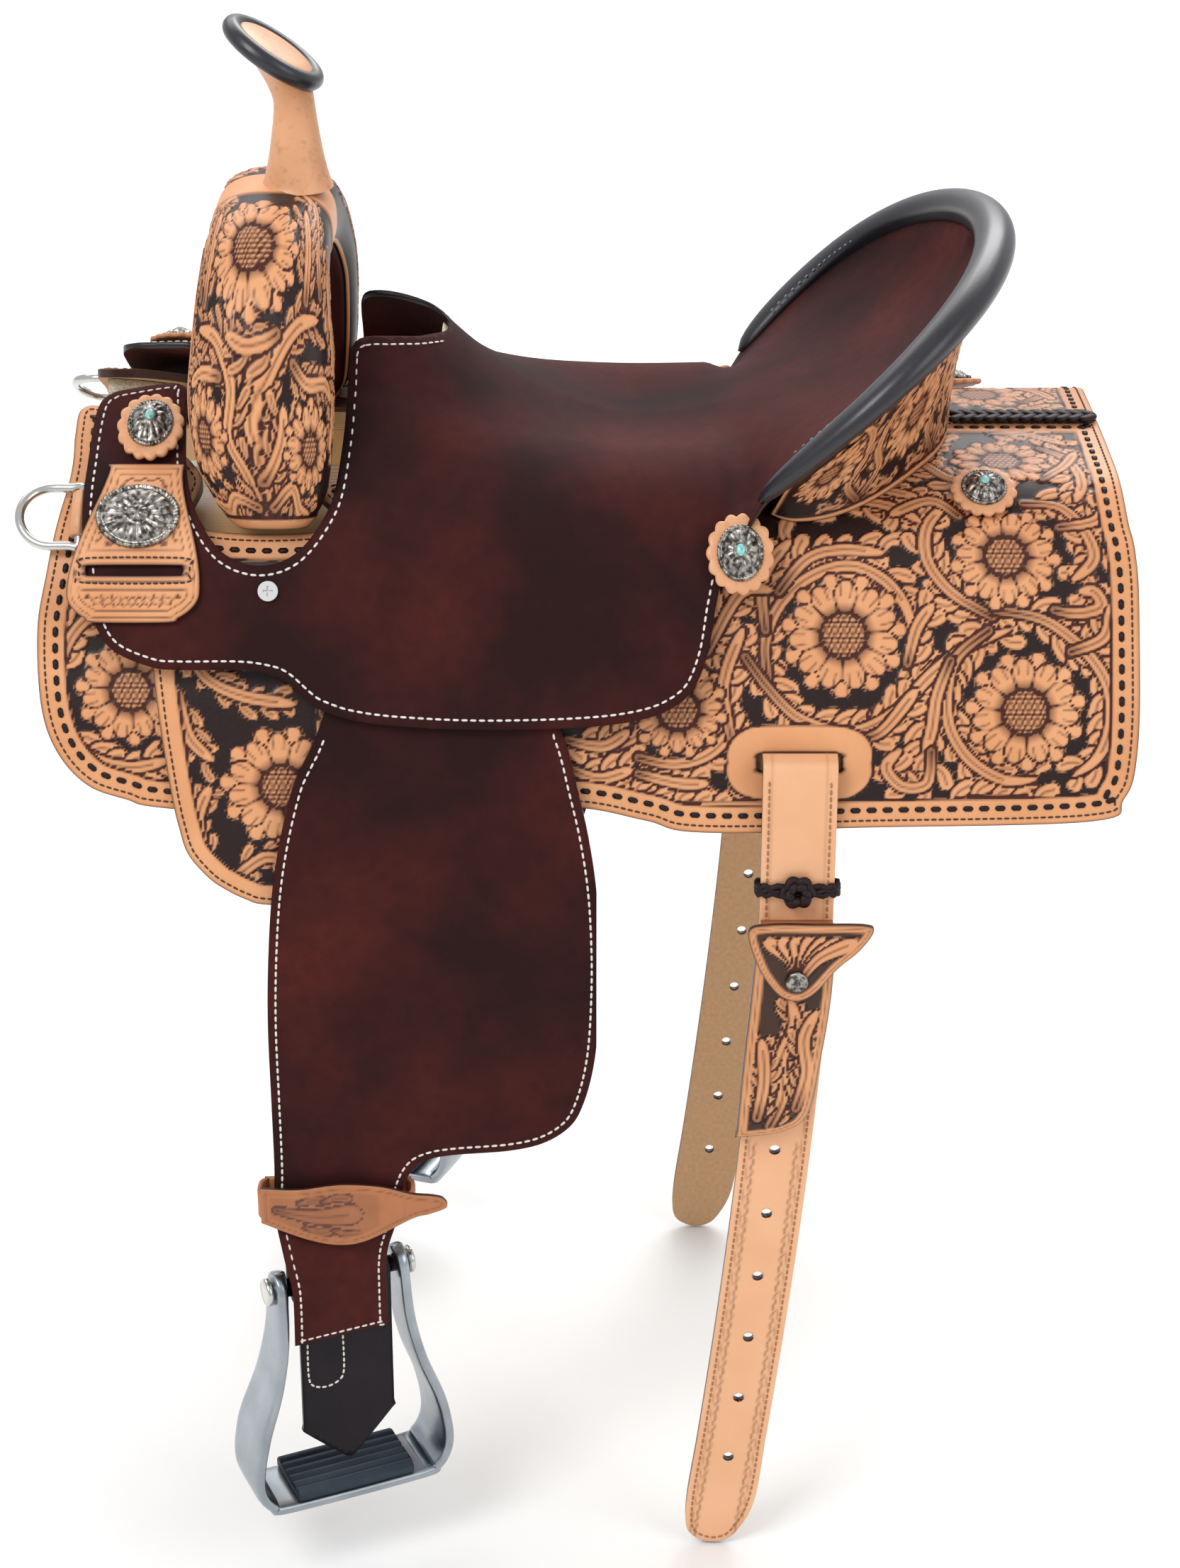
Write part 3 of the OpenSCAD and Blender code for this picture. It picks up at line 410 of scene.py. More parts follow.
def spaced(path, pitch, closed=False):
    """Points every pitch along a path, with the unit direction at each."""
    ends = np.vstack([path, path[:1]]) if closed else path
    walked = np.concatenate([[0], np.cumsum(np.linalg.norm(np.diff(ends, axis=0), axis=1))])
    spots = np.arange(pitch / 2, walked[-1], pitch)
    at = np.stack([np.interp(spots, walked, ends[:, k]) for k in range(ends.shape[1])], 1)
    ahead = np.stack([np.interp(spots + 0.4, walked, ends[:, k]) for k in range(ends.shape[1])], 1)
    back = np.stack([np.interp(spots - 0.4, walked, ends[:, k]) for k in range(ends.shape[1])], 1)
    way = ahead - back
    return at, way / np.maximum(np.linalg.norm(way, axis=1, keepdims=True), 1e-9)


def beads(name, at, way, out, half, wide, high, mat, corners=6, point=0.35):
    """Small rounded bars, one at each place: two blunt ends of point times the width, half mm either
    way along, wide across and high outward. Stitches, lace and beaded rims are made of them."""
    at, way, out = (np.asarray(a, float).reshape(-1, 3) for a in (at, way, out))
    across = np.cross(way, out)
    rings = np.array([(-1, point), (-0.6, 1), (0.6, 1), (1, point)])
    angle = np.arange(corners) * 2 * math.pi / corners + math.pi / corners
    local = [(r[0] * half, r[1] * wide * math.cos(a),
              r[1] * high * math.sin(a)) for r in rings for a in angle]
    local = np.array(local)
    points = (at[:, None] + way[:, None] * local[None, :, :1] + across[:, None] * local[None, :, 1:2]
              + out[:, None] * local[None, :, 2:])
    k = np.arange(corners)
    j = (k + 1) % corners
    one = [np.stack([r * corners + k, r * corners + j, (r + 1) * corners + j, (r + 1) * corners + k], 1)
           for r in range(3)]
    half_n = corners // 2
    cap = np.array([[i, i + 1, corners - 2 - i, corners - 1 - i] for i in range(half_n - 1)])
    one = np.vstack(one + [cap[:, ::-1], cap + 3 * corners])
    faces = one[None] + (np.arange(len(at)) * len(local))[:, None, None]
    return mesh_object(name, points * MM, faces.reshape(-1, 4), mat)


def seam(name, path, place, pitch, half, wide, high, mat, rise=0.2, closed=True, corners=6):
    """A row of stitches along a path in a panel's own (u, v), standing rise proud of its face."""
    at, way = spaced(path, pitch, closed)
    here = place(at[:, 0], at[:, 1], np.full(len(at), rise))
    ahead = place(at[:, 0] + 0.5 * way[:, 0], at[:, 1] + 0.5 * way[:, 1], np.full(len(at), rise)) - here
    up = place(at[:, 0], at[:, 1], np.full(len(at), rise + 1)) - here
    ahead /= np.linalg.norm(ahead, axis=1, keepdims=True)
    return beads(name, here, ahead, up, half, wide, high, mat, corners)


def loft(name, grid, mat, caps=False):
    """A surface through a grid of closed rings (n, m, 3) in mm, or through several such grids; caps
    close the ends by drawing them in to the ring's middle."""
    grid = np.asarray(grid, float)
    grid = grid[None] if grid.ndim == 3 else grid
    if caps:
        first, last = grid[:, :1].mean(axis=2, keepdims=True), grid[:, -1:].mean(axis=2, keepdims=True)
        grid = np.concatenate([first + (grid[:, :1] - first) * 0.02, grid,
                               last + (grid[:, -1:] - last) * 0.02], 1)
    k, n, m = grid.shape[:3]
    index = np.arange(k * n * m).reshape(k, n, m)
    index = np.concatenate([index, index[:, :, :1]], axis=2)
    faces = np.stack([index[:, :-1, :-1], index[:, 1:, :-1], index[:, 1:, 1:], index[:, :-1, 1:]], -1)
    return mesh_object(name, grid * MM, faces.reshape(-1, 4), mat)


def bar(name, path, radius, mat, corners=10, flat=1.0, out=(0, -1, 0), closed=False):
    """A round bar along a path in mm; flat squashes it along out."""
    path = np.asarray(path, float)
    way = np.roll(path, -1, 0) - np.roll(path, 1, 0) if closed else np.gradient(path, axis=0)
    way /= np.linalg.norm(way, axis=1, keepdims=True)
    up = np.asarray(out, float) - way * (way @ np.asarray(out, float))[:, None]
    up /= np.linalg.norm(up, axis=1, keepdims=True)
    across = np.cross(way, up)
    angle = np.arange(corners) * 2 * math.pi / corners
    radius = np.broadcast_to(np.asarray(radius, float), (len(path),))[:, None, None]
    grid = path[:, None] + radius * (across[:, None] * np.cos(angle)[None, :, None]
                                     + flat * up[:, None] * np.sin(angle)[None, :, None])
    if closed:
        grid = np.concatenate([grid, grid[:1]])
    return loft(name, grid, mat, caps=not closed)

# ---------------------------------------------------------------------------------------------
# Carving: vegetable-tanned leather is cased with water, the pattern is cut with a swivel knife,
# the ground round it is stamped down and dyed dark, and leaves and petals are bevelled and veined.
# ---------------------------------------------------------------------------------------------
GROUND_DEPTH = 1.1
CUT_WIDTH = 0.9     # a knife cut is 0.4 mm wide; drawn wider so that it still shows


def canvas(u, v):
    """A field of points whose leather is all stamped ground."""
    return {"u": u, "v": v, "z": np.full(u.shape, -GROUND_DEPTH), "ground": np.ones(u.shape),
            "shade": np.zeros(u.shape)}


def around(art, path, margin):
    """Indices of the points within a margin of the path's box."""
    low, high = np.min(path, axis=0) - margin, np.max(path, axis=0) + margin
    u, v = art["u"], art["v"]
    return np.flatnonzero((u > low[0]) & (u < high[0]) & (v > low[1]) & (v < high[1]))


def lay(art, pick, d, top, shade=0.0):
    """Raises an element whose outline is d = 0, d being mm inside it; a dark cut runs round it.

    Height eases from the ground to top over 1.2 mm, and the shade is exp(-d / 0.6) beside the cut."""
    inner = d > 0
    rise = np.clip(d / 1.2, 0, 1)
    rise = rise * rise * (3 - 2 * rise)
    art["z"][pick] = np.where(inner, -GROUND_DEPTH + (top + GROUND_DEPTH) * rise, art["z"][pick])
    art["ground"][pick] = np.where(inner, 0, art["ground"][pick])
    tint = np.clip(0.75 * np.exp(-np.clip(d, 0, None) / 0.6) + shade, 0, 1)
    cut = (d > -CUT_WIDTH) & ~inner
    art["shade"][pick] = np.where(inner, tint, np.where(cut, 1.0, art["shade"][pick]))


def stroke(art, points, wide, root=0.4, swell=1.0, tip=4.0, top=0.0, vein=0.4, step=1.5):
    """A leaf, lobe or band along a curve through the points.

    Half width is wide * (root + (1 - root) * t^swell) * sqrt(1 - t^tip) at a fraction t of its length."""
    path = smooth_line(points, step, closed=False)
    pick = around(art, path, wide + 2)
    if len(pick) == 0:
        return
    gap, _, _, run, _ = nearest(path, art["u"][pick], art["v"][pick])
    t = run / np.sum(np.linalg.norm(np.diff(path, axis=0), axis=1))
    half = wide * (root + (1 - root) * t ** swell) * np.sqrt(np.clip(1 - t ** tip, 0, 1))
    middle = np.exp(-(gap / 0.9) ** 2) * (half > 2.2) * (t < 0.85)
    lay(art, pick, half - gap, top - vein * middle,
        0.45 * middle * (vein > 0) + 0.3 * np.clip(1 - t * 4, 0, 1))


def flower(art, at, seed, outer, petals=11, turn=0.0):
    """A sunflower: two rings of petals round a domed disc of seeds.

    A petal's edge lies at reach * (1 - 0.24 * a^2) from the middle, where a runs from -1 to 1 across it."""
    at = np.asarray(at, float)
    pick = around(art, at[None], outer + 2)
    du, dv = art["u"][pick] - at[0], art["v"][pick] - at[1]
    r, theta = np.hypot(du, dv), np.arctan2(dv, du) + turn
    pitch = 2 * math.pi / petals
    for reach, shift, top in ((outer, 0.5, -0.35), (0.88 * outer, 0.0, 0.1)):
        a = ((theta / pitch + shift) % 1 - 0.5) * 2
        across = (1 - np.abs(a)) * r * pitch / 2
        d = np.minimum(reach * (1 - 0.24 * a ** 2) - r, across * 1.1)
        fold = np.exp(-((np.abs(a) - 0.42) * r * pitch / 2 / 0.7) ** 2) * (r > 0.68 * reach)
        root = np.clip((seed + 7 - r) / 7, 0, 1)
        lay(art, pick, d, top - 0.3 * fold - 0.3 * root, 0.45 * fold + 0.55 * root)
    row = 3.6
    line = np.round(dv / (row * 0.866))
    bead_u = (du / row + 0.5 * (line % 2) + 0.5) % 1 - 0.5
    bead = np.exp(-((bead_u * row) ** 2 + (dv - line * row * 0.866) ** 2) / 1.6)
    lay(art, pick, seed - r, -0.5 + 0.7 * bead, np.clip(0.75 - 0.95 * bead, 0, 1))


def lobes(art, points, length=15.0, wide=4.2, every=11.0, clear=(), skip=3.0, sides=(1, -1)):
    """Teardrop lobes that spring forward off both sides of a scroll, bowed towards its run."""
    path = smooth_line(points, 1.0, closed=False)
    walked = np.concatenate([[0], np.cumsum(np.linalg.norm(np.diff(path, axis=0), axis=1))])
    spots = np.arange(skip, walked[-1] - 2, every / len(sides))
    for i, spot in enumerate(spots):
        at = np.array([np.interp(spot, walked, path[:, k]) for k in (0, 1)])
        ahead = np.array([np.interp(min(spot + 3, walked[-1]), walked, path[:, k]) for k in (0, 1)])
        along = (ahead - at) / max(np.linalg.norm(ahead - at), 1e-6)
        out = np.array([-along[1], along[0]]) * sides[i % len(sides)]
        reach = length * (0.8 + 0.25 * math.sin(2.4 * i))
        end = at + along * reach * 0.8 + out * reach * 0.62
        if any(np.hypot(*(end - c[:2])) < c[2] for c in clear):
            continue
        stroke(art, [at, at + along * reach * 0.22 + out * reach * 0.4, end], wide, root=0.55, swell=1.25,
               tip=7, top=-0.12, vein=0.25)


def scroll(art, points, wide=4.6, **lobe):
    """A scroll: its lobes first, then the stem over them."""
    lobes(art, points, **lobe)
    stroke(art, points, wide, root=0.8, swell=1.0, tip=9, top=0.15, vein=0.3)


def finish_art(art, depth, border):
    """Lays the plain border band along the edge, and returns relief, ground, shade and edge tone."""
    everywhere = np.arange(len(art["u"]))
    if border:
        lay(art, everywhere, border - depth, 0.0)
    near_edge = depth < 1.5
    art["z"][near_edge] = 0
    return art["z"], art["ground"], art["shade"], np.zeros_like(depth)


def tone_nodes(tree):
    """The tooling attribute as three sockets: ground, shade and edge."""
    source = add(tree, "Attribute", attribute_name="tooling")
    split = add(tree, "SeparateColor", {"Color": source.outputs["Color"]})
    return split.outputs


def blend_colour(tree, factor, first, second):
    """A linear mix of two colours, each a hex code or a socket."""
    first, second = (linear(c) if isinstance(c, str) else c for c in (first, second))
    return add(tree, "Mix", {0: factor, 6: first, 7: second}, data_type="RGBA").outputs[2]


def new_leather(name, roughness, coat=0.0):
    """An empty leather material; leather has an IOR near 1.5, and a coat where it is waxed."""
    mat = bpy.data.materials.new(name)
    mat.use_nodes = True
    shader = mat.node_tree.nodes["Principled BSDF"]
    shader.inputs["Roughness"].default_value = roughness
    shader.inputs["IOR"].default_value = 1.5
    shader.inputs["Coat Weight"].default_value = coat
    shader.inputs["Coat Roughness"].default_value = 0.25
    return mat, mat.node_tree, shader


def noise(tree, size_mm, detail=3.0, **settings):
    """Noise on object coordinates with features of about size_mm."""
    place = add(tree, "TexCoord").outputs["Object"]
    return add(tree, "TexNoise", {"Vector": place, "Scale": 1000 / size_mm, "Detail": detail},
               **settings).outputs[0]


def bump(tree, shader, height, strength, distance):
    """Feeds a height into the shader's normal."""
    node = add(tree, "Bump", {"Strength": strength, "Distance": distance, "Height": height})
    tree.links.new(node.outputs[0], shader.inputs["Normal"])


# Tooled leather: vegetable-tanned cowhide, cased, carved and oiled, its ground dyed dark brown. The
# eye sees honey-tan highs with a soft wax gloss, brown antiquing in the cuts, and a matt pebbled ground.
tooled, tree, shader = new_leather("tooled_vegetable_tanned_leather", 0.45, coat=0.06)
shader.inputs["Specular IOR Level"].default_value = 0.3
ground, shade, rim_tone = tone_nodes(tree)
patchy = noise(tree, 45, 2.0)
tan = blend_colour(tree, patchy, "#cb8656", "#eaac7c")
cut = add(tree, "MapRange", {0: shade, 1: 0.04, 2: 0.62})
tan = blend_colour(tree, cut.outputs[0], tan, "#43190d")
tan = blend_colour(tree, ground, tan, blend_colour(tree, noise(tree, 1.8, 1.0), "#120606", "#2c1210"))
tan = blend_colour(tree, rim_tone, tan, "#3a251d")
tree.links.new(tan, shader.inputs["Base Color"])
bump(tree, shader, noise(tree, 0.9, 2.0), 0.25, 0.0003)

# Edge of tooled leather: the cut edge is bevelled, dyed and slicked with wax, so it is dark and smooth.
dyed_edge, tree, shader = new_leather("dyed_slicked_leather_edge", 0.4)
colour = blend_colour(tree, noise(tree, 6), "#2a1a17", "#4a2f25")
tree.links.new(colour, shader.inputs["Base Color"])
bump(tree, shader, noise(tree, 1.2, 2.0), 0.2, 0.0003)

# Flesh side of the leather: undyed suede-like fibre, matt and a little fuzzy.
flesh_side, tree, shader = new_leather("undyed_leather_flesh_side", 0.9)
colour = blend_colour(tree, noise(tree, 3, 4.0), "#a9805a", "#c9a27a")
tree.links.new(colour, shader.inputs["Base Color"])
bump(tree, shader, noise(tree, 0.8, 3.0), 0.5, 0.0005)

# ---------------------------------------------------------------------------------------------
# Tree: a wooden fork, cantle and two bars under resin, with a steel horn bolted on. It carries
# everything else; the ground seat and its foam pad lie on it.
# ---------------------------------------------------------------------------------------------
def dress(mat, *names):
    """Gives its material to each CAD piece that shows as it is or lies hidden; "@" is either side."""
    for name in [n.replace("@", hand) for n in names for hand in ("left", "right")]:
        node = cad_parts[name]
        node.data.materials.clear()
        node.data.materials.append(mat)


# Resin-coated softwood: long pale grain under an amber skin, seen only inside the gullet.
tree_wood, tree, shader = new_leather("resin_coated_softwood", 0.4, coat=0.4)
rings = add(tree, "TexWave", {"Scale": 40.0, "Distortion": 3.0, "Detail": 3.0}, bands_direction="Z")
tree.links.new(blend_colour(tree, rings.outputs["Fac"], "#a87b4a", "#c9a06c"), shader.inputs["Base Color"])
dress(tree_wood, "tree_fork", "tree_cantle", "tree_bar_@")
dress(flesh_side, "ground_seat")
# Closed-cell foam: dull cream, with fine pores.
foam, tree, shader = new_leather("closed_cell_foam", 0.95)
tree.links.new(blend_colour(tree, noise(tree, 1.5), "#cfc6a8", "#e6dfc8"), shader.inputs["Base Color"])
dress(foam, "seat_foam")
# Forged steel: dark scale with duller and brighter patches.
forged, tree, shader = new_leather("forged_steel", 0.5)
shader.inputs["Metallic"].default_value = 1.0
tree.links.new(blend_colour(tree, noise(tree, 8), "#3a3a3c", "#66676a"), shader.inputs["Base Color"])
dress(forged, "horn_core")

# ---------------------------------------------------------------------------------------------
# Skirts: two big tooled panels on the tree's bars, cut round at the corners, laced together along
# the spine, with a plain border that carries a lock stitch at its edge and a buck-stitched lace.
# ---------------------------------------------------------------------------------------------
SKIRT_T = 6.0
SKIRT_BORDER = 17.0
SLOT_X, SLOT_Z = 126.0, -134.0
BILLET_W = 45.0


def fine(*spans):
    """Grid lines over spans of (first, last, step)."""
    return np.unique(np.concatenate([np.arange(a, b, step) for a, b, step in spans]))


skirt_outline = smooth_line([(-300, 38), (-314, 40), (-316, 60), (-316, 89), (-325, 153), (-331, 191),
                             (-329, 237),
                             (-320, 266), (-303, 286), (-280, 295), (-252, 301), (-120, 310), (-20, 300),
                             (32, 308),
                             (56, 315), (103, 316), (156, 313), (302, 309), (322, 295), (329, 266),
                             (329, 179),
                             (327, 142), (324, 122), (322, 78), (321, 34), (320, 1.5), (320, 1.5), (118, 1.5),
                             (118, 1.5), (112, 60), (96, 89), (-150, 89), (-150, 128), (-236, 128),
                             (-236, 89),
                             (-262, 62)], 3.0)
slot_s = float(girth_at(SLOT_Z))
slot_hole = smooth_line([(SLOT_X + a * (BILLET_W / 2 + 3), slot_s + b * 6) for a, b in
                         ((-1, -0.4), (-0.9, -1), (0.9, -1), (1, -0.4), (1, 0.4), (0.9, 1), (-0.9, 1),
                          (-1, 0.4))], 2.0)
SKIRT_FLOWERS = [((152, 195), 13.5, 38, 0.1), ((249, 147), 12.5, 34, 0.5), ((261, 241), 13.5, 37, 0.2),
                 ((252, 64), 12, 32, 0.3), ((53, 240), 12, 30, 0.4), ((-275, 228), 12, 34, 0.2)]
SKIRT_SCROLLS = [
    [(107, 225), (105, 200), (113, 178), (130, 161), (154, 153), (175, 161), (189, 178), (194, 198)],
    [(93, 208), (107, 227), (126, 245), (156, 253), (183, 241), (204, 219), (226, 202), (253, 191)],
    [(105, 192), (103, 169), (107, 153), (121, 136)], [(113, 169), (130, 149), (150, 143), (177, 145)],
    [(241, 184), (216, 169), (202, 149), (203, 127), (218, 108)],
    [(261, 110), (283, 113), (297, 130), (302, 149), (288, 163)],
    [(278, 180), (292, 182), (306, 178), (302, 169), (292, 169)],
    [(239, 192), (220, 208), (214, 229), (216, 251), (229, 271), (250, 283), (270, 282)],
    [(243, 180), (272, 186), (296, 204), (310, 225), (312, 249), (305, 269), (290, 281)],
    [(216, 210), (208, 231), (205, 251), (201, 267)],
    [(205, 265), (203, 285), (188, 287), (178, 275), (187, 264)],
    [(29, 269), (52, 273), (74, 265), (93, 241)], [(29, 279), (54, 285), (72, 285)],
    [(166, 257), (177, 251), (196, 227)], [(150, 90), (179, 99), (199, 105)],
    [(278, 45), (292, 60), (299, 90), (293, 110)], [(130, 120), (150, 108), (180, 112), (200, 125)],
    [(140, 60), (165, 75), (190, 78), (215, 72)], [(150, 40), (180, 50), (210, 42), (225, 38)],
    [(250, 20), (275, 24), (296, 40)], [(20, 215), (35, 205), (60, 200), (85, 205)],
    [(-315, 250), (-300, 268), (-276, 275), (-252, 270)],
    [(-318, 215), (-310, 195), (-295, 182), (-270, 180)],
    [(-312, 175), (-302, 150), (-300, 120), (-303, 90)], [(-303, 82), (-296, 66), (-285, 56)],
    [(-255, 262), (-240, 250), (-235, 225)], [(30, 300), (60, 300), (90, 300), (130, 300)],
    [(110, 262), (92, 272), (98, 290)], [(210, 300), (240, 296), (275, 298)],
    [(16, 262), (30, 252), (26, 230)],
    [(86, 262), (80, 225), (92, 190)], [(70, 205), (90, 170), (110, 168)],
    [(222, 120), (205, 108), (180, 120)],
    [(232, 92), (215, 84), (200, 60)], [(275, 88), (290, 72), (300, 50)],
    [(190, 212), (196, 190), (206, 176)],
    [(288, 205), (308, 196), (312, 176)], [(282, 128), (306, 122), (312, 100)],
    [(-14, 258), (8, 262), (24, 252)],
    [(-12, 276), (6, 282), (26, 276)], [(-6, 292), (12, 296), (30, 292)]]


def skirt_carving(u, v, depth):
    """Sunflowers, scrolls and leaves inside the border."""
    art = canvas(u, v)
    clear = [(at[0], at[1], outer - 4) for at, _, outer, _ in SKIRT_FLOWERS]
    for route in SKIRT_SCROLLS:
        lobes(art, route, length=19, wide=6.2, every=12.5, clear=clear)
    for route in SKIRT_SCROLLS:
        stroke(art, route, 4.4, root=0.75, tip=9, top=0.1, vein=0.35)
    for at, seed, outer, turn in SKIRT_FLOWERS:
        flower(art, at, seed, outer, turn=turn)
    return finish_art(art, depth, SKIRT_BORDER)


skirt = panel("skirt_leather_left", skirt_outline, fine((-333, -246, 1.35), (-246, -20, 6), (-20, 332, 1.35)),
              fine((0, 36, 2.2), (36, 318, 1.35)), front_place, SKIRT_T, (tooled, dyed_edge, flesh_side),
              holes=[slot_hole], carve=skirt_carving, back_step=9.0)
fit_pair(skirt, "root", "tooled_leather", "skirt_@")


# Seams of the skirts: waxed brown thread near the edge, and a dark latigo lace through paired slits.
brown_thread, tree, shader = new_leather("waxed_brown_linen_thread", 0.6)
tree.links.new(blend_colour(tree, noise(tree, 2), "#2b1812", "#4a2a1c"), shader.inputs["Base Color"])
dark_lace, tree, shader = new_leather("dark_latigo_lace", 0.5)
shader.inputs["Specular IOR Level"].default_value = 0.25
tree.links.new(blend_colour(tree, noise(tree, 4), "#150a0d", "#2c181a"), shader.inputs["Base Color"])
bump(tree, shader, noise(tree, 1.0, 2.0), 0.3, 0.0003)

lock = seam("skirt_stitching_left", inset(skirt_outline, 4.5), front_place, 4.4, 1.7, 0.6, 0.5, brown_thread)
fit_pair(lock, "root", "tooled_leather")
laced = seam("skirt_buckstitch_left", inset(skirt_outline, 11), front_place, 9.7, 3.1, 2.3, 0.7, dark_lace,
             corners=4)
fit_pair(laced, "root", "rough_out_leather")

# ---------------------------------------------------------------------------------------------
# Fleece: a thick woolskin glued and sewn under each skirt and over the underside of the bars, so
# the saddle grips the pad. Its wool is a close, uneven pile.
# ---------------------------------------------------------------------------------------------
FLEECE_T = 12.0

# Natural woolskin: cream and almost without shine, with painted shade that greys it down between the locks.
woolskin, tree, shader = new_leather("natural_cream_woolskin", 1.0)
shader.inputs["Sheen Weight"].default_value = 0.5
locks = add(tree, "TexVoronoi", {"Scale": 180.0}, feature="F1")
# painted shade: the colour greys with the distance from each lock's middle, where shade falls between the
# locks
painted_shade_between_locks = add(tree, "MapRange", {0: locks.outputs["Distance"], 1: 0.0, 2: 0.8})
tree.links.new(blend_colour(tree, painted_shade_between_locks.outputs[0], "#e9e0cc", "#b6a98f"), shader.inputs["Base Color"])
bump(tree, shader, noise(tree, 1.6, 4.0), 0.7, 0.002)


def wool_place(u, v, o):
    """Place with o towards the horse; the wool drops 32 mm where it passes under the tree bar."""
    u, v = np.asarray(u, float), np.asarray(v, float)
    bar_under = ease((v - 24) / 14) * (1 - ease((v - 168) / 16)) * ease((u + 275) / 16) * (1
            - ease((u - 244) / 16))
    return front_place(u, v, -SKIRT_T - 0.6 - FLEECE_T - o - 32 * bar_under)


def wool_pile(u, v, depth):
    """Locks of wool: random heights up to 4 mm, sunk at the clipped edge."""
    rise = np.random.default_rng(7).random(len(u)) * 4 * np.clip(depth / 8, 0, 1)
    zero = np.zeros_like(u)
    return rise - 2, zero, zero, zero


wool = panel("woolskin_lining_left", inset(skirt_outline, 7), fine((-328, 328, 5.0)), fine((0, 312, 5.0)),
             wool_place,
             FLEECE_T, (woolskin, woolskin, woolskin), carve=wool_pile)
fit_pair(wool, "root", "sheepskin", "fleece_@")

# ---------------------------------------------------------------------------------------------
# Rigging covers: a second, longer tooled panel under each fender that hides the rigging leather.
# It is cut round at the bottom and bordered like the skirts.
# ---------------------------------------------------------------------------------------------
RIG_HI = 4.4
rig_outline = smooth_line([(-262, 178), (-262, 200), (-261, 217), (-258, 243), (-254, 275), (-251, 296),
                           (-248, 311),
                           (-243, 328), (-231, 343), (-220, 351), (-208, 357), (-197, 360), (-160, 361),
                           (-90, 358),
                           (-60, 345), (-40, 320), (-34, 260), (-40, 178), (-40, 178)], 2.5)


def rig_place(u, v, o):
    return near_side(u, v, o + RIG_HI)


def rig_carving(u, v, depth):
    """One sunflower low on the cover, with scrolls that climb from it."""
    art = canvas(u, v)
    routes = [[(-240, 205), (-228, 222), (-205, 232), (-175, 236)], [(-246, 230), (-240, 255), (-226, 270)],
              [(-232, 330), (-236, 305), (-228, 285)], [(-215, 343), (-196, 330), (-182, 335)],
              [(-238, 195), (-215, 205), (-190, 206), (-165, 215)], [(-160, 240), (-150, 262), (-152, 300)]]
    for route in routes:
        scroll(art, route, length=16, wide=4.4, every=13, clear=[(-185, 286, 26)])
    flower(art, (-185, 286), 13, 38, turn=0.2)
    return finish_art(art, depth, 13)


rig = panel("rigging_cover_leather_left", rig_outline, fine((-264, -145, 1.4), (-145, -30, 6)),
            fine((176, 362, 1.4)), rig_place, 4.0, (tooled, dyed_edge, flesh_side), carve=rig_carving,
            back_step=9.0)
fit_pair(rig, "root", "tooled_leather", "rigging_cover_@")
rig_line = inset(rig_outline, 4.0)
rig_line = opened(rig_line[(rig_line[:, 0] < -186) & (rig_line[:, 1] > 205)])
fit_pair(seam("rigging_cover_stitching_left", rig_line, rig_place, 4.4, 1.7, 0.6, 0.5, brown_thread,
              closed=False),
         "root", "tooled_leather")

# ---------------------------------------------------------------------------------------------
# Stirrup leathers and fenders: one heavy oiled leather a side, worn rough side out, that hangs
# from the tree bar under the jockey, widens into the fender and ends in a neck over the stirrup.
# ---------------------------------------------------------------------------------------------
FENDER_T, STRAP_MID = 5.0, 8.9
HINGE_S = 254.0
HINGE_Y, HINGE_Z = (float(a) for a in side(HINGE_S, STRAP_MID))
HANG_Y = 212.0
BOLT_X, BOLT_Y, BOLT_Z = -161.0, 203.0, -486.0
YAW = math.radians(24)


def fender_place(u, v, o):
    """u along the saddle, v mm below the flex line: over the drape above it, hanging free below it,
    and turned to the stirrup where the neck passes over the bolt; o is outward from the outer face."""
    u, v, o = (np.asarray(a, float) for a in (u, v, o))
    above_y, above_z = side(HINGE_S + np.minimum(v, 0), STRAP_MID + FENDER_T / 2 + o)
    d = np.maximum(v, 0)
    turn = ease((d - 325) / 40)
    hang = (HINGE_Y - FENDER_T / 2 + 0.12 * d) * (1 - ease(d / 120)) + (HANG_Y - FENDER_T) * ease(d / 120)
    hang = hang + 10.8 * turn + FENDER_T + o
    a = YAW * turn
    x = -162 + (u + 162) * np.cos(a)
    return np.stack([np.where(v < 0, u, x), np.where(v < 0, -above_y, (u + 162) * np.sin(a) - hang),
                     np.where(v < 0, above_z, HINGE_Z - d)], -1)


# Rough-out leather: oiled steerhide with its nap outside. The eye sees a deep red-brown, matt and
# short-napped, mottled darker and redder where oil and hands have laid the nap over.
rough_out, tree, shader = new_leather("rough_out_oiled_steerhide", 0.78)
shader.inputs["Sheen Weight"].default_value = 0.06
shader.inputs["Sheen Roughness"].default_value = 0.4
shader.inputs["Sheen Tint"].default_value = linear("#8a4a3a")
shader.inputs["Specular IOR Level"].default_value = 0.15
cloudy = noise(tree, 110, 4.0)
contrast = add(tree, "MapRange", {0: cloudy, 1: 0.38, 2: 0.66})
hide = blend_colour(tree, contrast.outputs[0], "#27100f", "#4c1c18")
hide = blend_colour(tree, add(tree, "MapRange",
                              {0: noise(tree, 9, 5.0), 1: 0.35, 2: 0.75, 4: 0.35}).outputs[0],
                    hide, "#200c0e")
tree.links.new(hide, shader.inputs["Base Color"])
bump(tree, shader, noise(tree, 0.8, 4.0), 0.35, 0.0004)

# Cut edge of the rough-out leather: dyed black-brown and burnished.
black_edge, tree, shader = new_leather("burnished_black_leather_edge", 0.35)
tree.links.new(blend_colour(tree, noise(tree, 5), "#0d0b10", "#1c171d"), shader.inputs["Base Color"])

# White thread: bonded polyester, five to the inch, bright and slightly glossy.
white_thread, tree, shader = new_leather("white_bonded_polyester_thread", 0.5)
tree.links.new(blend_colour(tree, noise(tree, 2), "#c9c0b6", "#f4efe6"), shader.inputs["Base Color"])

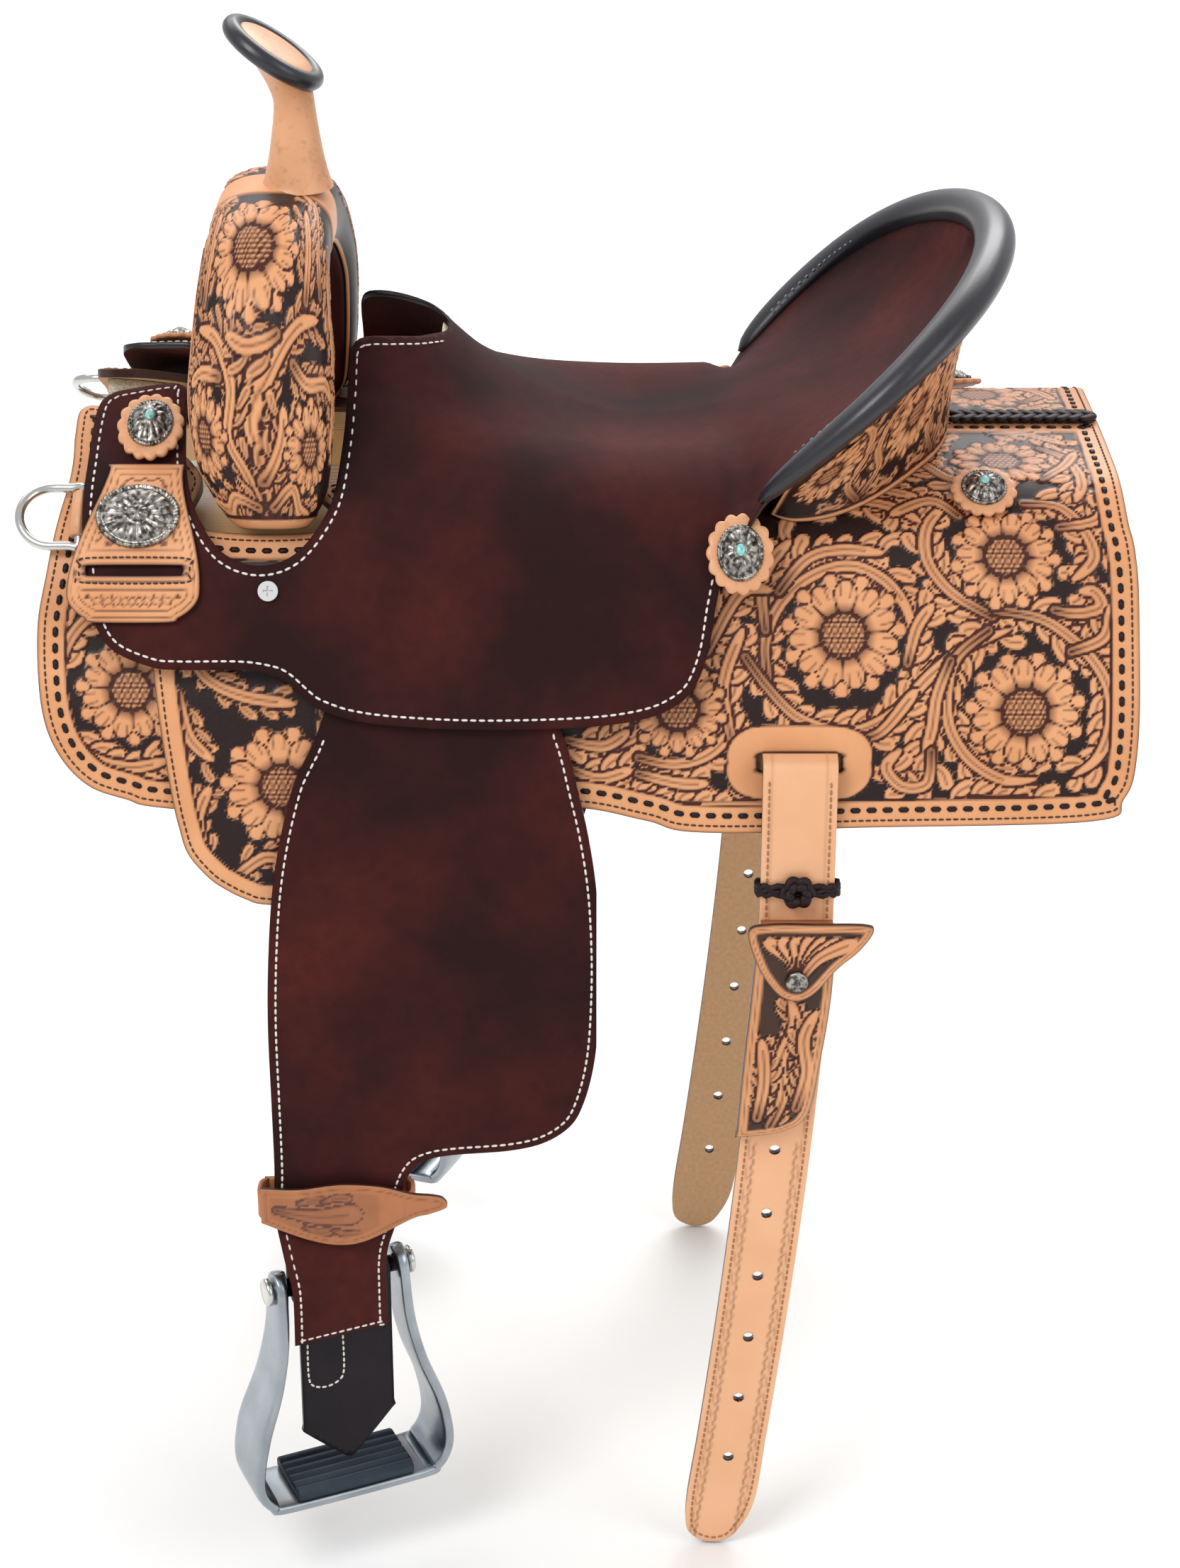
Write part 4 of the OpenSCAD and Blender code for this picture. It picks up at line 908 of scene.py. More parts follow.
fender_outline = smooth_line([(-120, -174), (-120, -174), (-121, -110), (-138, -70), (-152, -30), (-165, 3),
                              (-171, 15),
                              (-178, 30), (-186, 60), (-192, 95), (-196, 140), (-198, 185), (-198, 240),
                              (-198, 286),
                              (-199, 322), (-194, 345), (-190, 366), (-190, 405), (-190, 407), (-188, 407),
                              (-128, 407),
                              (-126, 407), (-127, 400), (-127, 366), (-127, 345), (-122, 325), (-117, 300),
                              (-110, 286),
                              (-100, 280), (-84, 277), (-50, 274), (-28, 268), (-12, 256), (-4, 240),
                              (2, 215),
                              (5, 185), (6, 140), (4, 95), (-1, 60), (-8, 30), (-15, 3), (-30, -35),
                              (-40, -70),
                              (-55, -110), (-56, -174), (-56, -174)], 3.0)


def fender_waves(u, v, depth):
    """A shallow cockle that the hanging weight leaves: 0.8 mm waves about 130 mm long."""
    z = 0.8 * np.sin(u / 21 + 0.6) * np.sin(v / 34) * np.clip(depth / 15, 0, 1)
    zero = np.zeros_like(u)
    return z, zero, zero, zero


fender = panel("fender_leather_left", fender_outline, fine((-201, 9, 5.0)), fine((-175, 409, 5.0)),
               fender_place,
               FENDER_T, (rough_out, black_edge, rough_out), carve=fender_waves)
loop_line = inset(fender_outline, 5.0)
seam_line = opened(loop_line[loop_line[:, 1] > -3])
fender_seam = seam("fender_stitching_left", seam_line, fender_place, 5.2, 1.9, 0.75, 0.6, white_thread,
                   closed=False)
for part, nodes in ((fender, ("fender_@", "stirrup_leather_@")), (fender_seam, ())):
    twin = mirrored(part, part.name.replace("_left", "_right"))
    for piece, hand, sign in ((part, "left", -1), (twin, "right", 1)):
        if nodes:
            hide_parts(*[n.replace("@", hand) for n in nodes])
        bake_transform(piece)

# ---------------------------------------------------------------------------------------------
# Seat and jockeys: one rough-out cover, drawn over the foam and ground seat, stitched round its
# edge. It is cut out round the fork, leaves a hand hole, and runs up under the cantle's roll.
# ---------------------------------------------------------------------------------------------
JOCKEY_HI, SEAT_T = 17.9, 4.5
FORK_X = -194.0
FORK_TOP = 172.0
RIM_X, RIM_W, RIM_REAR, RIM_FRONT, RIM_Z, ROLL_R = 150.0, 157.0, 98.0, 130.0, 144.0, 12.0
SEAT_LINE = np.array([(-170, 116), (-140, 114), (-123, 110), (-101, 96), (-82, 77), (-65, 62), (-32, 43),
                      (-3, 32),
                      (26, 25), (57, 27), (90, 34), (120, 43), (150, 54), (180, 70), (205, 88), (225, 110),
                      (240, 130), (250, 143)], float)
seat_curve = smooth_line(SEAT_LINE, 2.0, closed=False)


def seat_mid(x):
    """Height of the seat along the spine line."""
    return np.interp(x, seat_curve[:, 0], seat_curve[:, 1])


def rim_height(x):
    """Height of the cantle roll's centre line: it falls away forward, gently at first."""
    back = 248 - x
    return RIM_Z - 0.6 * back - 0.0016 * back ** 2


def dish_half(x):
    """Half width of the cantle's dish inside the roll."""
    reach = np.where(x > RIM_X, RIM_REAR, RIM_FRONT) - 13
    return (RIM_W - 13) * np.sqrt(np.clip(1 - ((x - RIM_X) / reach) ** 2, 0.02, 1))


def seat_place(u, v, o):
    """u along the saddle, v the girth, near side positive. Forward, the drape with the seat's rise
    added as a cosine over 128 mm of girth; in the dish, a power 2.4 curve from middle to roll."""
    x, s = np.asarray(u, float), np.abs(v)
    fall = 0.5 + 0.5 * np.cos(math.pi * np.minimum(1, s / 128))
    lift = JOCKEY_HI + (seat_mid(x) - SPINE_Z - JOCKEY_HI) * fall * ease((x + 190) / 50)
    y, z = side(s, lift + o)
    z = z + front_lift(x, s)
    w = ease((x - 90) / 30 + 0.5)
    share = np.clip(y / np.maximum(dish_half(x), 1), 0, 1)
    dish = seat_mid(x) + (rim_height(x) - 3 - seat_mid(x)) * share ** 2.4 + o
    return np.stack([x, -np.sign(v) * y, z * (1 - w) + dish * w], -1)


s_table = np.linspace(0, 260, 521)
y_table = side(s_table, JOCKEY_HI)[0]
turn = np.radians(np.linspace(100, 0, 26))
rear_x = RIM_X + (np.where(np.cos(turn) > 0, RIM_REAR, RIM_FRONT) - 8) * np.cos(turn)
rear_s = np.interp((RIM_W - 8) * np.sin(turn), y_table, s_table)
near_half = [(-88, 0), (-92, 16), (-104, 32), (-122, 41), (-140, 45), (-146, 52), (-147, 72), (-149, 94),
             (-156, 126),
             (-174, 150), (-197, 157), (-220, 149), (-236, 126), (-243, 100), (-246, 72), (-248, 48),
             (-252, 40),
             (-280, 45), (-294, 50), (-301, 62), (-303, 100), (-303, 128), (-301, 150), (-296, 182),
             (-285, 203),
             (-262, 214), (-245, 216), (-210, 216), (-193, 218), (-182, 222), (-167, 235), (-156, 240),
             (-141, 244),
             (-115, 247), (-67, 249), (-12, 248), (23, 245), (46, 239), (61, 228), (70, 206), (75, 177),
             (80, 160),
             (90, 150)] + [(float(a), float(b)) for a, b in zip(rear_x[3:], rear_s[3:])]
near_half = np.array(near_half)
seat_outline = smooth_line(np.vstack([near_half, (near_half * [1, -1])[-2:0:-1]]), 3.0)
seat = panel("seat_leather_cover", seat_outline, fine((-305, 245, 4.0)), fine((-252, 252.5, 4.0)),
             seat_place, SEAT_T,
             (rough_out, black_edge, rough_out))
fit(seat, "root", "rough_out_leather", "seat_leather")
hem = inset(seat_outline, 5.0)
for hand, sign in (("left", 1), ("right", -1)):
    half_seam = hem[(hem[:, 1] * sign > 20) & (hem[:, 0] < 74)]
    half_seam = opened(half_seam)
    thread = seam("seat_stitching_" + hand, half_seam, seat_place, 5.2, 1.9, 0.75, 0.6, white_thread,
                  closed=False)
    fit(thread, "root", "rough_out_leather")

# ---------------------------------------------------------------------------------------------
# Cantle: a tooled leather back on the wooden cantle board, and a stuffed black roll sewn round the
# rim with fine grey thread, its ends tucked against the jockeys.
# ---------------------------------------------------------------------------------------------
# Black roll: smooth chrome-tanned leather over a soft core, waxed; it shows broad soft highlights.
black_roll, tree, shader = new_leather("waxed_black_chrome_leather", 0.36, coat=0.2)
tree.links.new(blend_colour(tree, noise(tree, 30, 3.0), "#14141a", "#26262d"), shader.inputs["Base Color"])
bump(tree, shader, noise(tree, 2.2, 4.0), 0.18, 0.0004)


def rim_point(t, g=0.0):
    """Roll's centre line at t degrees from straight back, moved inward by g."""
    c, s = np.cos(np.radians(t)), np.sin(np.radians(t))
    x = RIM_X + (np.where(c > 0, RIM_REAR, RIM_FRONT) - g) * c
    return np.stack([x, (RIM_W - g) * s, rim_height(x)], -1)


def foot_point(t, g=0.0):
    """Foot of the cantle's back, on the skirts."""
    c, s = np.cos(np.radians(t)), np.sin(np.radians(t))
    x = 125 + (np.where(c > 0, 100, 60) - g) * c
    y = (121 - g) * s
    girth = np.interp(np.abs(y), side(s_table)[0], s_table)
    return np.stack([x, y, side(girth, 1.0)[1]], -1)


ts = np.linspace(-113, 113, 151)
centre = rim_point(ts)
radial = np.stack([np.cos(np.radians(ts)), np.sin(np.radians(ts)), np.zeros_like(ts)], -1)
end_taper = np.sqrt(np.clip(1 - np.abs(ts / 113.01) ** 26, 0.001, 1))
size = ROLL_R * (1 - 0.25 * np.abs(ts / 113) ** 4) * end_taper
around_roll = np.radians(np.arange(0, 360, 11.25))
crease = 1 - 0.07 * np.exp(-((around_roll - math.radians(200)) / 0.25) ** 2)
roll = centre[:, None] + size[:, None, None] * crease[None, :, None] * (
    radial[:, None] * np.cos(around_roll)[None, :, None] * 1.05
    + np.array([0, 0, 1.0]) * np.sin(around_roll)[None, :, None])
binding = loft("cantle_roll", roll, black_roll, caps=True)
fit(binding, "root", "black_leather", "cantle_binding")
stitch_t = np.linspace(-104, 104, 96)
stitch_at = rim_point(stitch_t, ROLL_R * 0.9) + [0, 0, ROLL_R * 0.52]
stitch_way = np.gradient(stitch_at, axis=0)
stitch_way /= np.linalg.norm(stitch_way, axis=1, keepdims=True)
stitch_out = np.stack([-np.cos(np.radians(stitch_t)), -np.sin(np.radians(stitch_t)),
                       np.full_like(stitch_t, 1.2)], -1)
stitch_out /= np.linalg.norm(stitch_out, axis=1, keepdims=True)
grey_thread, tree, shader = new_leather("grey_bonded_thread", 0.5)
tree.links.new(blend_colour(tree, noise(tree, 2), "#5f6a70", "#9aa6aa"), shader.inputs["Base Color"])
fit(beads("cantle_roll_stitching", stitch_at, stitch_way, stitch_out, 1.2, 0.7, 0.6, grey_thread), "root",
    "black_leather")



def back_place(u, v, o):
    """u mm round the cantle's back from its middle, v from foot 0 to roll 1 times 100, o outward."""
    t = u / 2.35
    low, high = foot_point(t), rim_point(t, 2.0) - [0, 0, ROLL_R * 0.8]
    share = (v / 100)[:, None]
    way = np.stack([np.cos(np.radians(t)), np.sin(np.radians(t)), np.zeros_like(t)], -1)
    return low + (high - low) * share + way * (o - 5 * np.sin(math.pi * v / 100))[:, None]


def back_carving(u, v, depth):
    """Sunflowers between scrolls, over the whole back."""
    art = canvas(u, v)
    spots = [-205, -120, -40, 40, 120, 205]
    clear = [(a, 52, 24) for a in spots]
    for a in (-165, -80, 0, 80, 165):
        for m in (1, -1):
            scroll(art, [(a, 8), (a + 14 * m, 26), (a + 6 * m, 46), (a + 10 * m, 70), (a + 26 * m, 88)],
                   length=15,
                   wide=4.2, every=12, clear=clear)
            scroll(art, [(a + 4 * m, 92), (a + 20 * m, 96), (a + 34 * m, 92)], length=9, wide=3.2, every=12,
                   clear=clear)
            scroll(art, [(a + 6 * m, 6), (a + 24 * m, 10), (a + 36 * m, 8)], length=10, wide=3.2, every=12,
                   clear=clear)
    for a in spots:
        flower(art, (a, 50), 10, 31, turn=a)
    return finish_art(art, depth, 5)


back_outline = smooth_line([(-249, 0), (-249, 0), (249, 0), (249, 0), (249, 100), (249, 100), (-249, 100),
                            (-249, 100)], 4.0)
back = panel("cantle_back_leather", back_outline, fine((-249, 249.5, 1.6)), fine((0, 100.1, 1.8)),
             back_place, 3.0,
             (tooled, dyed_edge, flesh_side), carve=back_carving, back_step=8.0)
fit(back, "root", "tooled_leather", "cantle_back")

# ---------------------------------------------------------------------------------------------
# Fork and horn: the tooled cover is one wet-moulded piece over the swell; the gullet is lined with
# dark leather. The steel horn is wrapped with plain tan leather under a capped, rolled top.
# ---------------------------------------------------------------------------------------------
ARCH = np.array([(124, -4, 13, 22, 4), (123, 4, 17, 29, 3), (121, 14, 20, 35, 2), (118, 30, 22, 40, 0),
                 (115, 52, 24, 43, -1), (111, 74, 26, 44, -1), (103, 97, 27, 43, 0), (89, 118, 28, 41, 0),
                 (68, 134, 28, 39, 0), (42, 143, 28, 38, 0), (15, 146, 27, 37, 0)], float)
arch_rows = np.vstack([ARCH * [-1, 1, 1, 1, 1], ARCH[::-1]])
arch_curve = smooth_line(arch_rows, 1.0, closed=False)
arch_run = np.concatenate([[0], np.cumsum(np.linalg.norm(np.diff(arch_curve[:, :2], axis=0), axis=1))])
arch_run -= arch_run[-1] / 2


def arch_place(u, v, o):
    """u degrees round the arch's section from its front, v mm along the arch from the crown, o outward.

    The section is a superellipse: cosine and sine to the power 0.75, of the half length and thickness."""
    row = np.stack([np.interp(v, arch_run, arch_curve[:, k]) for k in range(5)], -1)
    step = 2.0
    ahead = np.stack([np.interp(v + step, arch_run, arch_curve[:, k]) for k in (0, 1)], -1)
    behind = np.stack([np.interp(v - step, arch_run, arch_curve[:, k]) for k in (0, 1)], -1)
    way = ahead - behind
    way /= np.linalg.norm(way, axis=1, keepdims=True)
    c, s = np.cos(np.radians(u)), np.sin(np.radians(u))
    px = np.sign(c) * np.abs(c) ** 0.75 * (row[:, 3] + o)
    pr = np.sign(s) * np.abs(s) ** 0.75 * (row[:, 2] + o)
    return np.stack([FORK_X + row[:, 4] + px, row[:, 0] - way[:, 1] * pr, row[:, 1] + way[:, 0] * pr], -1)


ARCH_END = float(arch_run[-1])
DEG_MM = 1.15     # mm round the section for each degree, near enough for the pattern


def fork_carving(u, v, depth):
    """A big sunflower at the top front of each side and two lower down, with long leaves between."""
    art = canvas((u - 90) * DEG_MM, v)
    for m in (1, -1):
        clear = [(8, 72 * m, 26), (52, 168 * m, 22), (-44, 176 * m, 22)]
        for route in ([(-2, 222), (-6, 190), (4, 160), (-8, 130), (-30, 112), (-58, 108)],
                      [(2, 222), (10, 190), (22, 168), (18, 140), (36, 118), (64, 112)],
                      [(-4, 212), (-22, 200), (-34, 214), (-60, 220)],
                      [(6, 212), (28, 206), (48, 214), (76, 208)],
                      [(-62, 96), (-58, 60), (-50, 34), (-30, 20)], [(66, 96), (66, 60), (56, 34), (30, 22)],
                      [(-10, 116), (6, 122), (24, 116)], [(-84, 60), (-82, 100), (-86, 140), (-80, 180)],
                      [(88, 60), (86, 100), (90, 140), (88, 180)],
                      [(-24, 130), (-40, 140), (-66, 140), (-80, 150)],
                      [(30, 136), (52, 134), (74, 140)], [(0, 196), (-14, 170), (-16, 150)],
                      [(-40, 100), (-44, 70), (-36, 40)], [(56, 100), (52, 70), (46, 40)],
                      [(100, 90), (104, 60), (110, 30)],
                      [(108, 200), (112, 150), (106, 110)], [(118, 180), (124, 120), (120, 60)]):
            scroll(art, [(a, b * m) for a, b in route], wide=5.2, length=20, every=9, clear=clear)
        flower(art, (52, 168 * m), 10, 30, turn=0.3)
        flower(art, (-44, 176 * m), 10, 30, turn=0.1)
        flower(art, (8, 72 * m), 14, 40, petals=13, turn=0.2)
    plain = 20 - np.abs(v)
    lay(art, np.arange(len(u)), np.maximum(plain, 7 - depth * 1.0), 0.0)
    return art["z"], art["ground"], art["shade"], np.zeros_like(u)


fork_outline = smooth_line([(-38, -ARCH_END), (-38, -ARCH_END), (218, -ARCH_END), (218, -ARCH_END),
                            (218, ARCH_END),
                            (218, ARCH_END), (-38, ARCH_END), (-38, ARCH_END)], 4.0)
fork = panel("fork_cover_leather", fork_outline, fine((-38, 218.1, 1.3)),
             fine((-ARCH_END, ARCH_END + 0.1, 1.5)),
             arch_place, 2.6, (tooled, dyed_edge, flesh_side), carve=fork_carving, back_step=8.0)
fit(fork, "root", "tooled_leather", "fork_cover")
lining = panel("gullet_lining_leather", np.array([(221, -ARCH_END), (319, -ARCH_END), (319, ARCH_END),
                                                  (221, ARCH_END)]),
               fine((221, 319.1, 7)), fine((-ARCH_END, ARCH_END + 0.1, 5)), arch_place, 2.8,
               (rough_out, black_edge, rough_out))
fit(lining, "root", "rough_out_leather", "gullet_lining")

# Plain tan leather: the same hide as the tooled work, uncarved, with drawn-down creases and wear.
plain_tan, tree, shader = new_leather("plain_vegetable_tanned_leather", 0.45, coat=0.12)
colour = blend_colour(tree, noise(tree, 28, 3.0), "#c68557", "#e9b084")
grain = add(tree, "MapRange", {0: noise(tree, 5, 4.0), 1: 0.55, 2: 0.8, 4: 0.5})
colour = blend_colour(tree, grain.outputs[0], colour, "#9a5f35")
tree.links.new(colour, shader.inputs["Base Color"])
bump(tree, shader, noise(tree, 1.1, 3.0), 0.22, 0.0003)

HORN_X, HORN_Z = FORK_X + 15, FORK_TOP + 1.4
CAP_X, CAP_Z, CAP_R, CAP_TILT = HORN_X - 12, FORK_TOP + 80, 27.0, math.radians(34)
ring = np.radians(np.arange(0, 360, 7.5))


def tilted_ring(x, z, radius, tilt, long=1.0):
    """A ring about a point on the spine plane, tipped back by tilt; long stretches it fore and aft."""
    px, py = long * radius * np.cos(ring), radius * np.sin(ring)
    return np.stack([x + px * math.cos(tilt), py, z - px * math.sin(tilt)], -1)


def cap_ring(radius, up):
    """A ring of the cap's own disc, up mm above its middle."""
    return tilted_ring(CAP_X + up * math.sin(CAP_TILT), CAP_Z + up * math.cos(CAP_TILT), radius, CAP_TILT)


neck_rows = [(HORN_X - 1, HORN_Z - 3, 23, 0), (HORN_X, HORN_Z, 21, 0), (HORN_X, HORN_Z + 12, 17.8, 0),
             (HORN_X, HORN_Z + 28, 15, 0.02), (HORN_X, HORN_Z + 42, 13.2, 0.06),
             (HORN_X - 0.5, HORN_Z + 50, 13, 0.15),
             (HORN_X - 3, HORN_Z + 58, 15.5, 0.32), (HORN_X - 7, HORN_Z + 66, 20.5, 0.5),
             (CAP_X - 1.5, CAP_Z - 5, 25.6, 0.59)]
neck_curve = smooth_line(neck_rows, 2.5, closed=False)
horn_neck = loft("horn_neck_leather", [tilted_ring(*row) for row in neck_curve], plain_tan)
fit(horn_neck, "root", "tooled_leather", "horn_neck_cover")
dome = [cap_ring(r, up) for r, up in ((25.5, -4), (26.6, -1), (26.6, 3.5), (24, 5), (18, 6), (9, 6.6),
                                      (0.2, 6.8))]
horn_cap = loft("horn_cap_leather", dome, plain_tan)
fit(horn_cap, "root", "tooled_leather", "horn_cap")
cap_roll = [cap_ring(CAP_R + 2.3 + 5.6 * math.cos(a),
                     0.5 + 5.8 * math.sin(a)) for a in np.radians(np.arange(0, 361, 20))]
horn_roll = loft("horn_cap_roll", cap_roll, black_roll)
fit(horn_roll, "root", "black_leather", "horn_cap_binding")

# ---------------------------------------------------------------------------------------------
# Conchos, screws and lacing: domed antique-silver conchos with a beaded rim and a turquoise stone,
# each on a scalloped leather rosette; the skirts are laced together behind the cantle.
# ---------------------------------------------------------------------------------------------
CONCHOS = [(-266, 80, 23.9), (238, 103, 3), (89, 152, 21.9)]

# Antique silver: nickel silver darkened in its hollows, satin on the high parts.
silver, tree, shader = new_leather("antique_nickel_silver", 0.36)
shader.inputs["Metallic"].default_value = 1.0
worn = add(tree, "MapRange", {0: noise(tree, 3, 3.0), 1: 0.4, 2: 0.62})
tree.links.new(blend_colour(tree, worn.outputs[0], "#4a4541", "#b3aea6"), shader.inputs["Base Color"])
bump(tree, shader, noise(tree, 1.2, 3.0), 0.15, 0.0003)

# Turquoise: a waxy blue-green stone with thin brown veins.
turquoise, tree, shader = new_leather("polished_turquoise", 0.25, coat=0.4)
vein = add(tree, "MapRange", {0: noise(tree, 2, 5.0), 1: 0.56, 2: 0.66})
tree.links.new(blend_colour(tree, vein.outputs[0], "#8fc9c2", "#5c8f86"), shader.inputs["Base Color"])


def discs(name, spots, rings, mat, place=front_place, sides=1.0, points=72):
    """Round pieces on the side at (x, girth, offset). Each ring is (radius, height, lobes, ripple out,
    ripple up): its lobes are the absolute sine of half their count round the rim. sides is the
    length of each piece along the girth as a share of its width."""
    a = np.arange(points) * 2 * math.pi / points
    grids = []
    for x, s, o in spots:
        grid = []
        for radius, height, lobe, out, up in rings:
            wave = np.abs(np.sin(lobe * a / 2)) if lobe else 0 * a
            grid.append(place(x + (radius + out * wave) * np.cos(a),
                              s + sides * (radius + out * wave) * np.sin(a),
                              o + height + up * wave))
        grids.append(grid)
    return loft(name, grids, mat)


rosette = discs("concho_rosettes_left", CONCHOS,
                [(0.1, 0, 0, 0, 0), (18, 0, 0, 0, 0), (18.4, 0.4, 15, 1.9, 0),
                (18.4, 2.4, 15, 1.9, 0), (17.6, 3.1, 15, 1.9, 0), (16, 3.0, 15, 1.2, 0.2), (8, 3.1, 0, 0, 0),
                (0.1, 3.1, 0, 0, 0)], plain_tan, points=120)
fit(rosette, "root", "tooled_leather", "rosettes")
fit(mirrored(rosette, "concho_rosettes_right"), "root", "tooled_leather")
concho = discs("conchos_left", CONCHOS, [(0.1, 3.2, 0, 0, 0), (13.2, 3.2, 0, 0, 0), (13.5, 3.7, 40, 0.5, 0),
               (13.3, 4.4, 40, 0.3, 0.5), (12.6, 4.7, 40, 0, 0.9), (11.9, 4.5, 40, 0, 0.4),
               (11.5, 4.3, 0, 0, 0),
               (11, 4.8, 12, 0, 0.7), (9.5, 6, 12, 0, 1.0), (7.5, 7.4, 12, 0, 0.9), (5.5, 8.4, 12, 0, 0.5),
               (4.2, 8.8, 0, 0, 0), (3.8, 9.6, 0, 0, 0), (3.1, 9.7, 0, 0, 0), (2.9, 8.6, 0, 0, 0),
               (0.1, 8.4, 0, 0, 0)], silver, points=160)
fit(concho, "root", "antique_silver", "conchos")
fit(mirrored(concho, "conchos_right"), "root", "antique_silver")
stone = discs("concho_stones_left", CONCHOS, [(0.1, 8, 0, 0, 0), (2.9, 8, 0, 0, 0), (2.9, 9.7, 0, 0, 0),
              (2.3, 10.5, 0, 0, 0), (1.2, 10.9, 0, 0, 0), (0.1, 11, 0, 0, 0)], turquoise, points=24)
fit(stone, "root", "turquoise", "concho_stones")
fit(mirrored(stone, "concho_stones_right"), "root", "turquoise")
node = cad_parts["jockey_screws"]
node.data.materials.append(silver)

LACE_X0, LACE_X1, LACE_PITCH = 227.0, 318.0, 7.5
lace_at, lace_way = [], []
for row in (-1, 1):
    xs = np.arange(LACE_X0 + 4, LACE_X1 - 3, LACE_PITCH)
    lace_at.append(np.stack([xs, np.full_like(xs, row * 4.2), np.full_like(xs, SPINE_Z + 2.6)], 1))
    lace_way.append(np.tile([math.cos(0.72), -row * math.sin(0.72), 0.0], (len(xs), 1)))
lace_at, lace_way = np.vstack(lace_at), np.vstack(lace_way)
lacing = beads("spine_lacing", lace_at, lace_way, np.tile([0, 0, 1.0], (len(lace_at), 1)), 6.6, 3.6, 2.0,
               dark_lace,
               corners=8, point=0.6)
fit(lacing, "root", "black_leather", "skirt_lacing")

# ---------------------------------------------------------------------------------------------
# Dees and latigo keepers: a steel dee each side for the breast collar, held by a leather loop, and a
# bell-shaped keeper with a slot for the latigo's end and an oval silver plaque.
# ---------------------------------------------------------------------------------------------
DEE_X, DEE_S, DEE_O, DEE_R, DEE_REACH, DEE_WIRE = -306.0, 124.0, 7.0, 19.4, 17.0, 2.9

# Nickel-plated steel: a bright, slightly yellow mirror, hazed by handling.
plated, tree, shader = new_leather("nickel_plated_steel", 0.2)
shader.inputs["Metallic"].default_value = 1.0
tree.links.new(blend_colour(tree, noise(tree, 12), "#b9b8b4", "#dddcd8"), shader.inputs["Base Color"])

bend = np.radians(np.linspace(90, 270, 17))
dee_path = np.vstack([[(0, -DEE_R), (0, -8), (0, 8), (0, DEE_R), (-5, DEE_R), (-12, DEE_R)],
                      np.stack([-DEE_REACH + DEE_R * np.cos(bend), DEE_R * np.sin(bend)], 1),
                      [(-12, -DEE_R), (-5, -DEE_R)]])
dee_path = smooth_line(dee_path, 2.0)
dee_ring = bar("dee_ring_steel_left", near_side(DEE_X + dee_path[:, 0], DEE_S + dee_path[:, 1],
                                                np.full(len(dee_path), DEE_O)),
               DEE_WIRE, plated, corners=14, closed=True)
fit_pair(dee_ring, "dee_@", "steel", "dee_ring_@")
loop_section = [(5.6 * math.cos(a), 5.6 * math.sin(a)) for a in np.radians(np.arange(80, 271, 15))] + [
    (22, -5.5), (22.5, -3), (22, -0.2), (8, 0), (4, 2)]
loop_section = smooth_line(loop_section, 1.5)
loop_rings = []
for across, share in ((-14, 0.86), (-13.4, 1), (13.4, 1), (14, 0.86)):
    middle = loop_section.mean(axis=0)
    shape = middle + (loop_section - middle) * share
    loop_rings.append(near_side(DEE_X + shape[:, 0], np.full(len(shape), DEE_S + across),
                                DEE_O + shape[:, 1]))
fit_pair(loft("dee_loop_leather_left", loop_rings, plain_tan, caps=True), "root", "tooled_leather",
         "dee_keeper_@")

KEEPER_X, KEEPER_S, KEEPER_LEN, KEEPER_W, KEEPER_HI = -266.0, 100.0, 88.0, 84.0, 21.7
share = np.linspace(0, 1, 40)
bell = KEEPER_W * (0.26 + 0.21 * ease(share * 1.25)) * np.where(
    share > 0.8, np.sqrt(np.clip(1 - ((share - 0.8) / 0.24) ** 2, 0, 1)), 1)
keeper_outline = np.vstack([np.stack([bell, share * KEEPER_LEN], 1),
                            np.stack([-bell, share * KEEPER_LEN], 1)[::-1]])
keeper_outline = smooth_line(keeper_outline, 2.0)


def keeper_place(u, v, o):
    """u across the keeper, v down it from its top edge."""
    return front_place(KEEPER_X - 6 * v / KEEPER_LEN + u, KEEPER_S + v, o + KEEPER_HI)


def keeper_carving(u, v, depth):
    """A double crease near the edge and a row of pressed half-moons inside it."""
    angle = np.arctan2(u, v - 52)
    moons = np.exp(-((depth - 9.5 - 2.2 * np.abs(np.sin(angle * 17))) / 0.7) ** 2)
    crease = np.exp(-((depth - 3) / 0.5) ** 2) + np.exp(-((depth - 7) / 0.5) ** 2)
    zero = np.zeros_like(u)
    return -0.5 * moons - 0.45 * crease, zero, 0.6 * moons + 0.5 * crease, zero


slot_rect = smooth_line([(a * 29, 60 + b * 2.5) for a, b in
                         ((-1, -0.3), (-0.97, -1), (0.97, -1), (1, -0.3), (1, 0.3), (0.97, 1), (-0.97, 1),
                          (-1, 0.3))], 1.2)
keeper = panel("latigo_keeper_leather_left", keeper_outline, fine((-46, 46.1, 1.3)), fine((-2, 92, 1.3)),
               keeper_place, 3.0, (tooled, dyed_edge, flesh_side), holes=[slot_rect], carve=keeper_carving)
fit_pair(keeper, "keeper_@", "tooled_leather", "latigo_keeper_@")
slot_line = smooth_line([(a * 32.5, 60 + b * 6) for a, b in
                         ((-1, -0.4), (-0.9, -1), (0.9, -1), (1, -0.4), (1, 0.4), (0.9, 1), (-0.9, 1),
                          (-1, 0.4))], 1.5)
fit_pair(seam("keeper_slot_stitching_left", slot_line, keeper_place, 4.0, 1.5, 0.6, 0.5, brown_thread),
         "keeper_@",
         "tooled_leather")
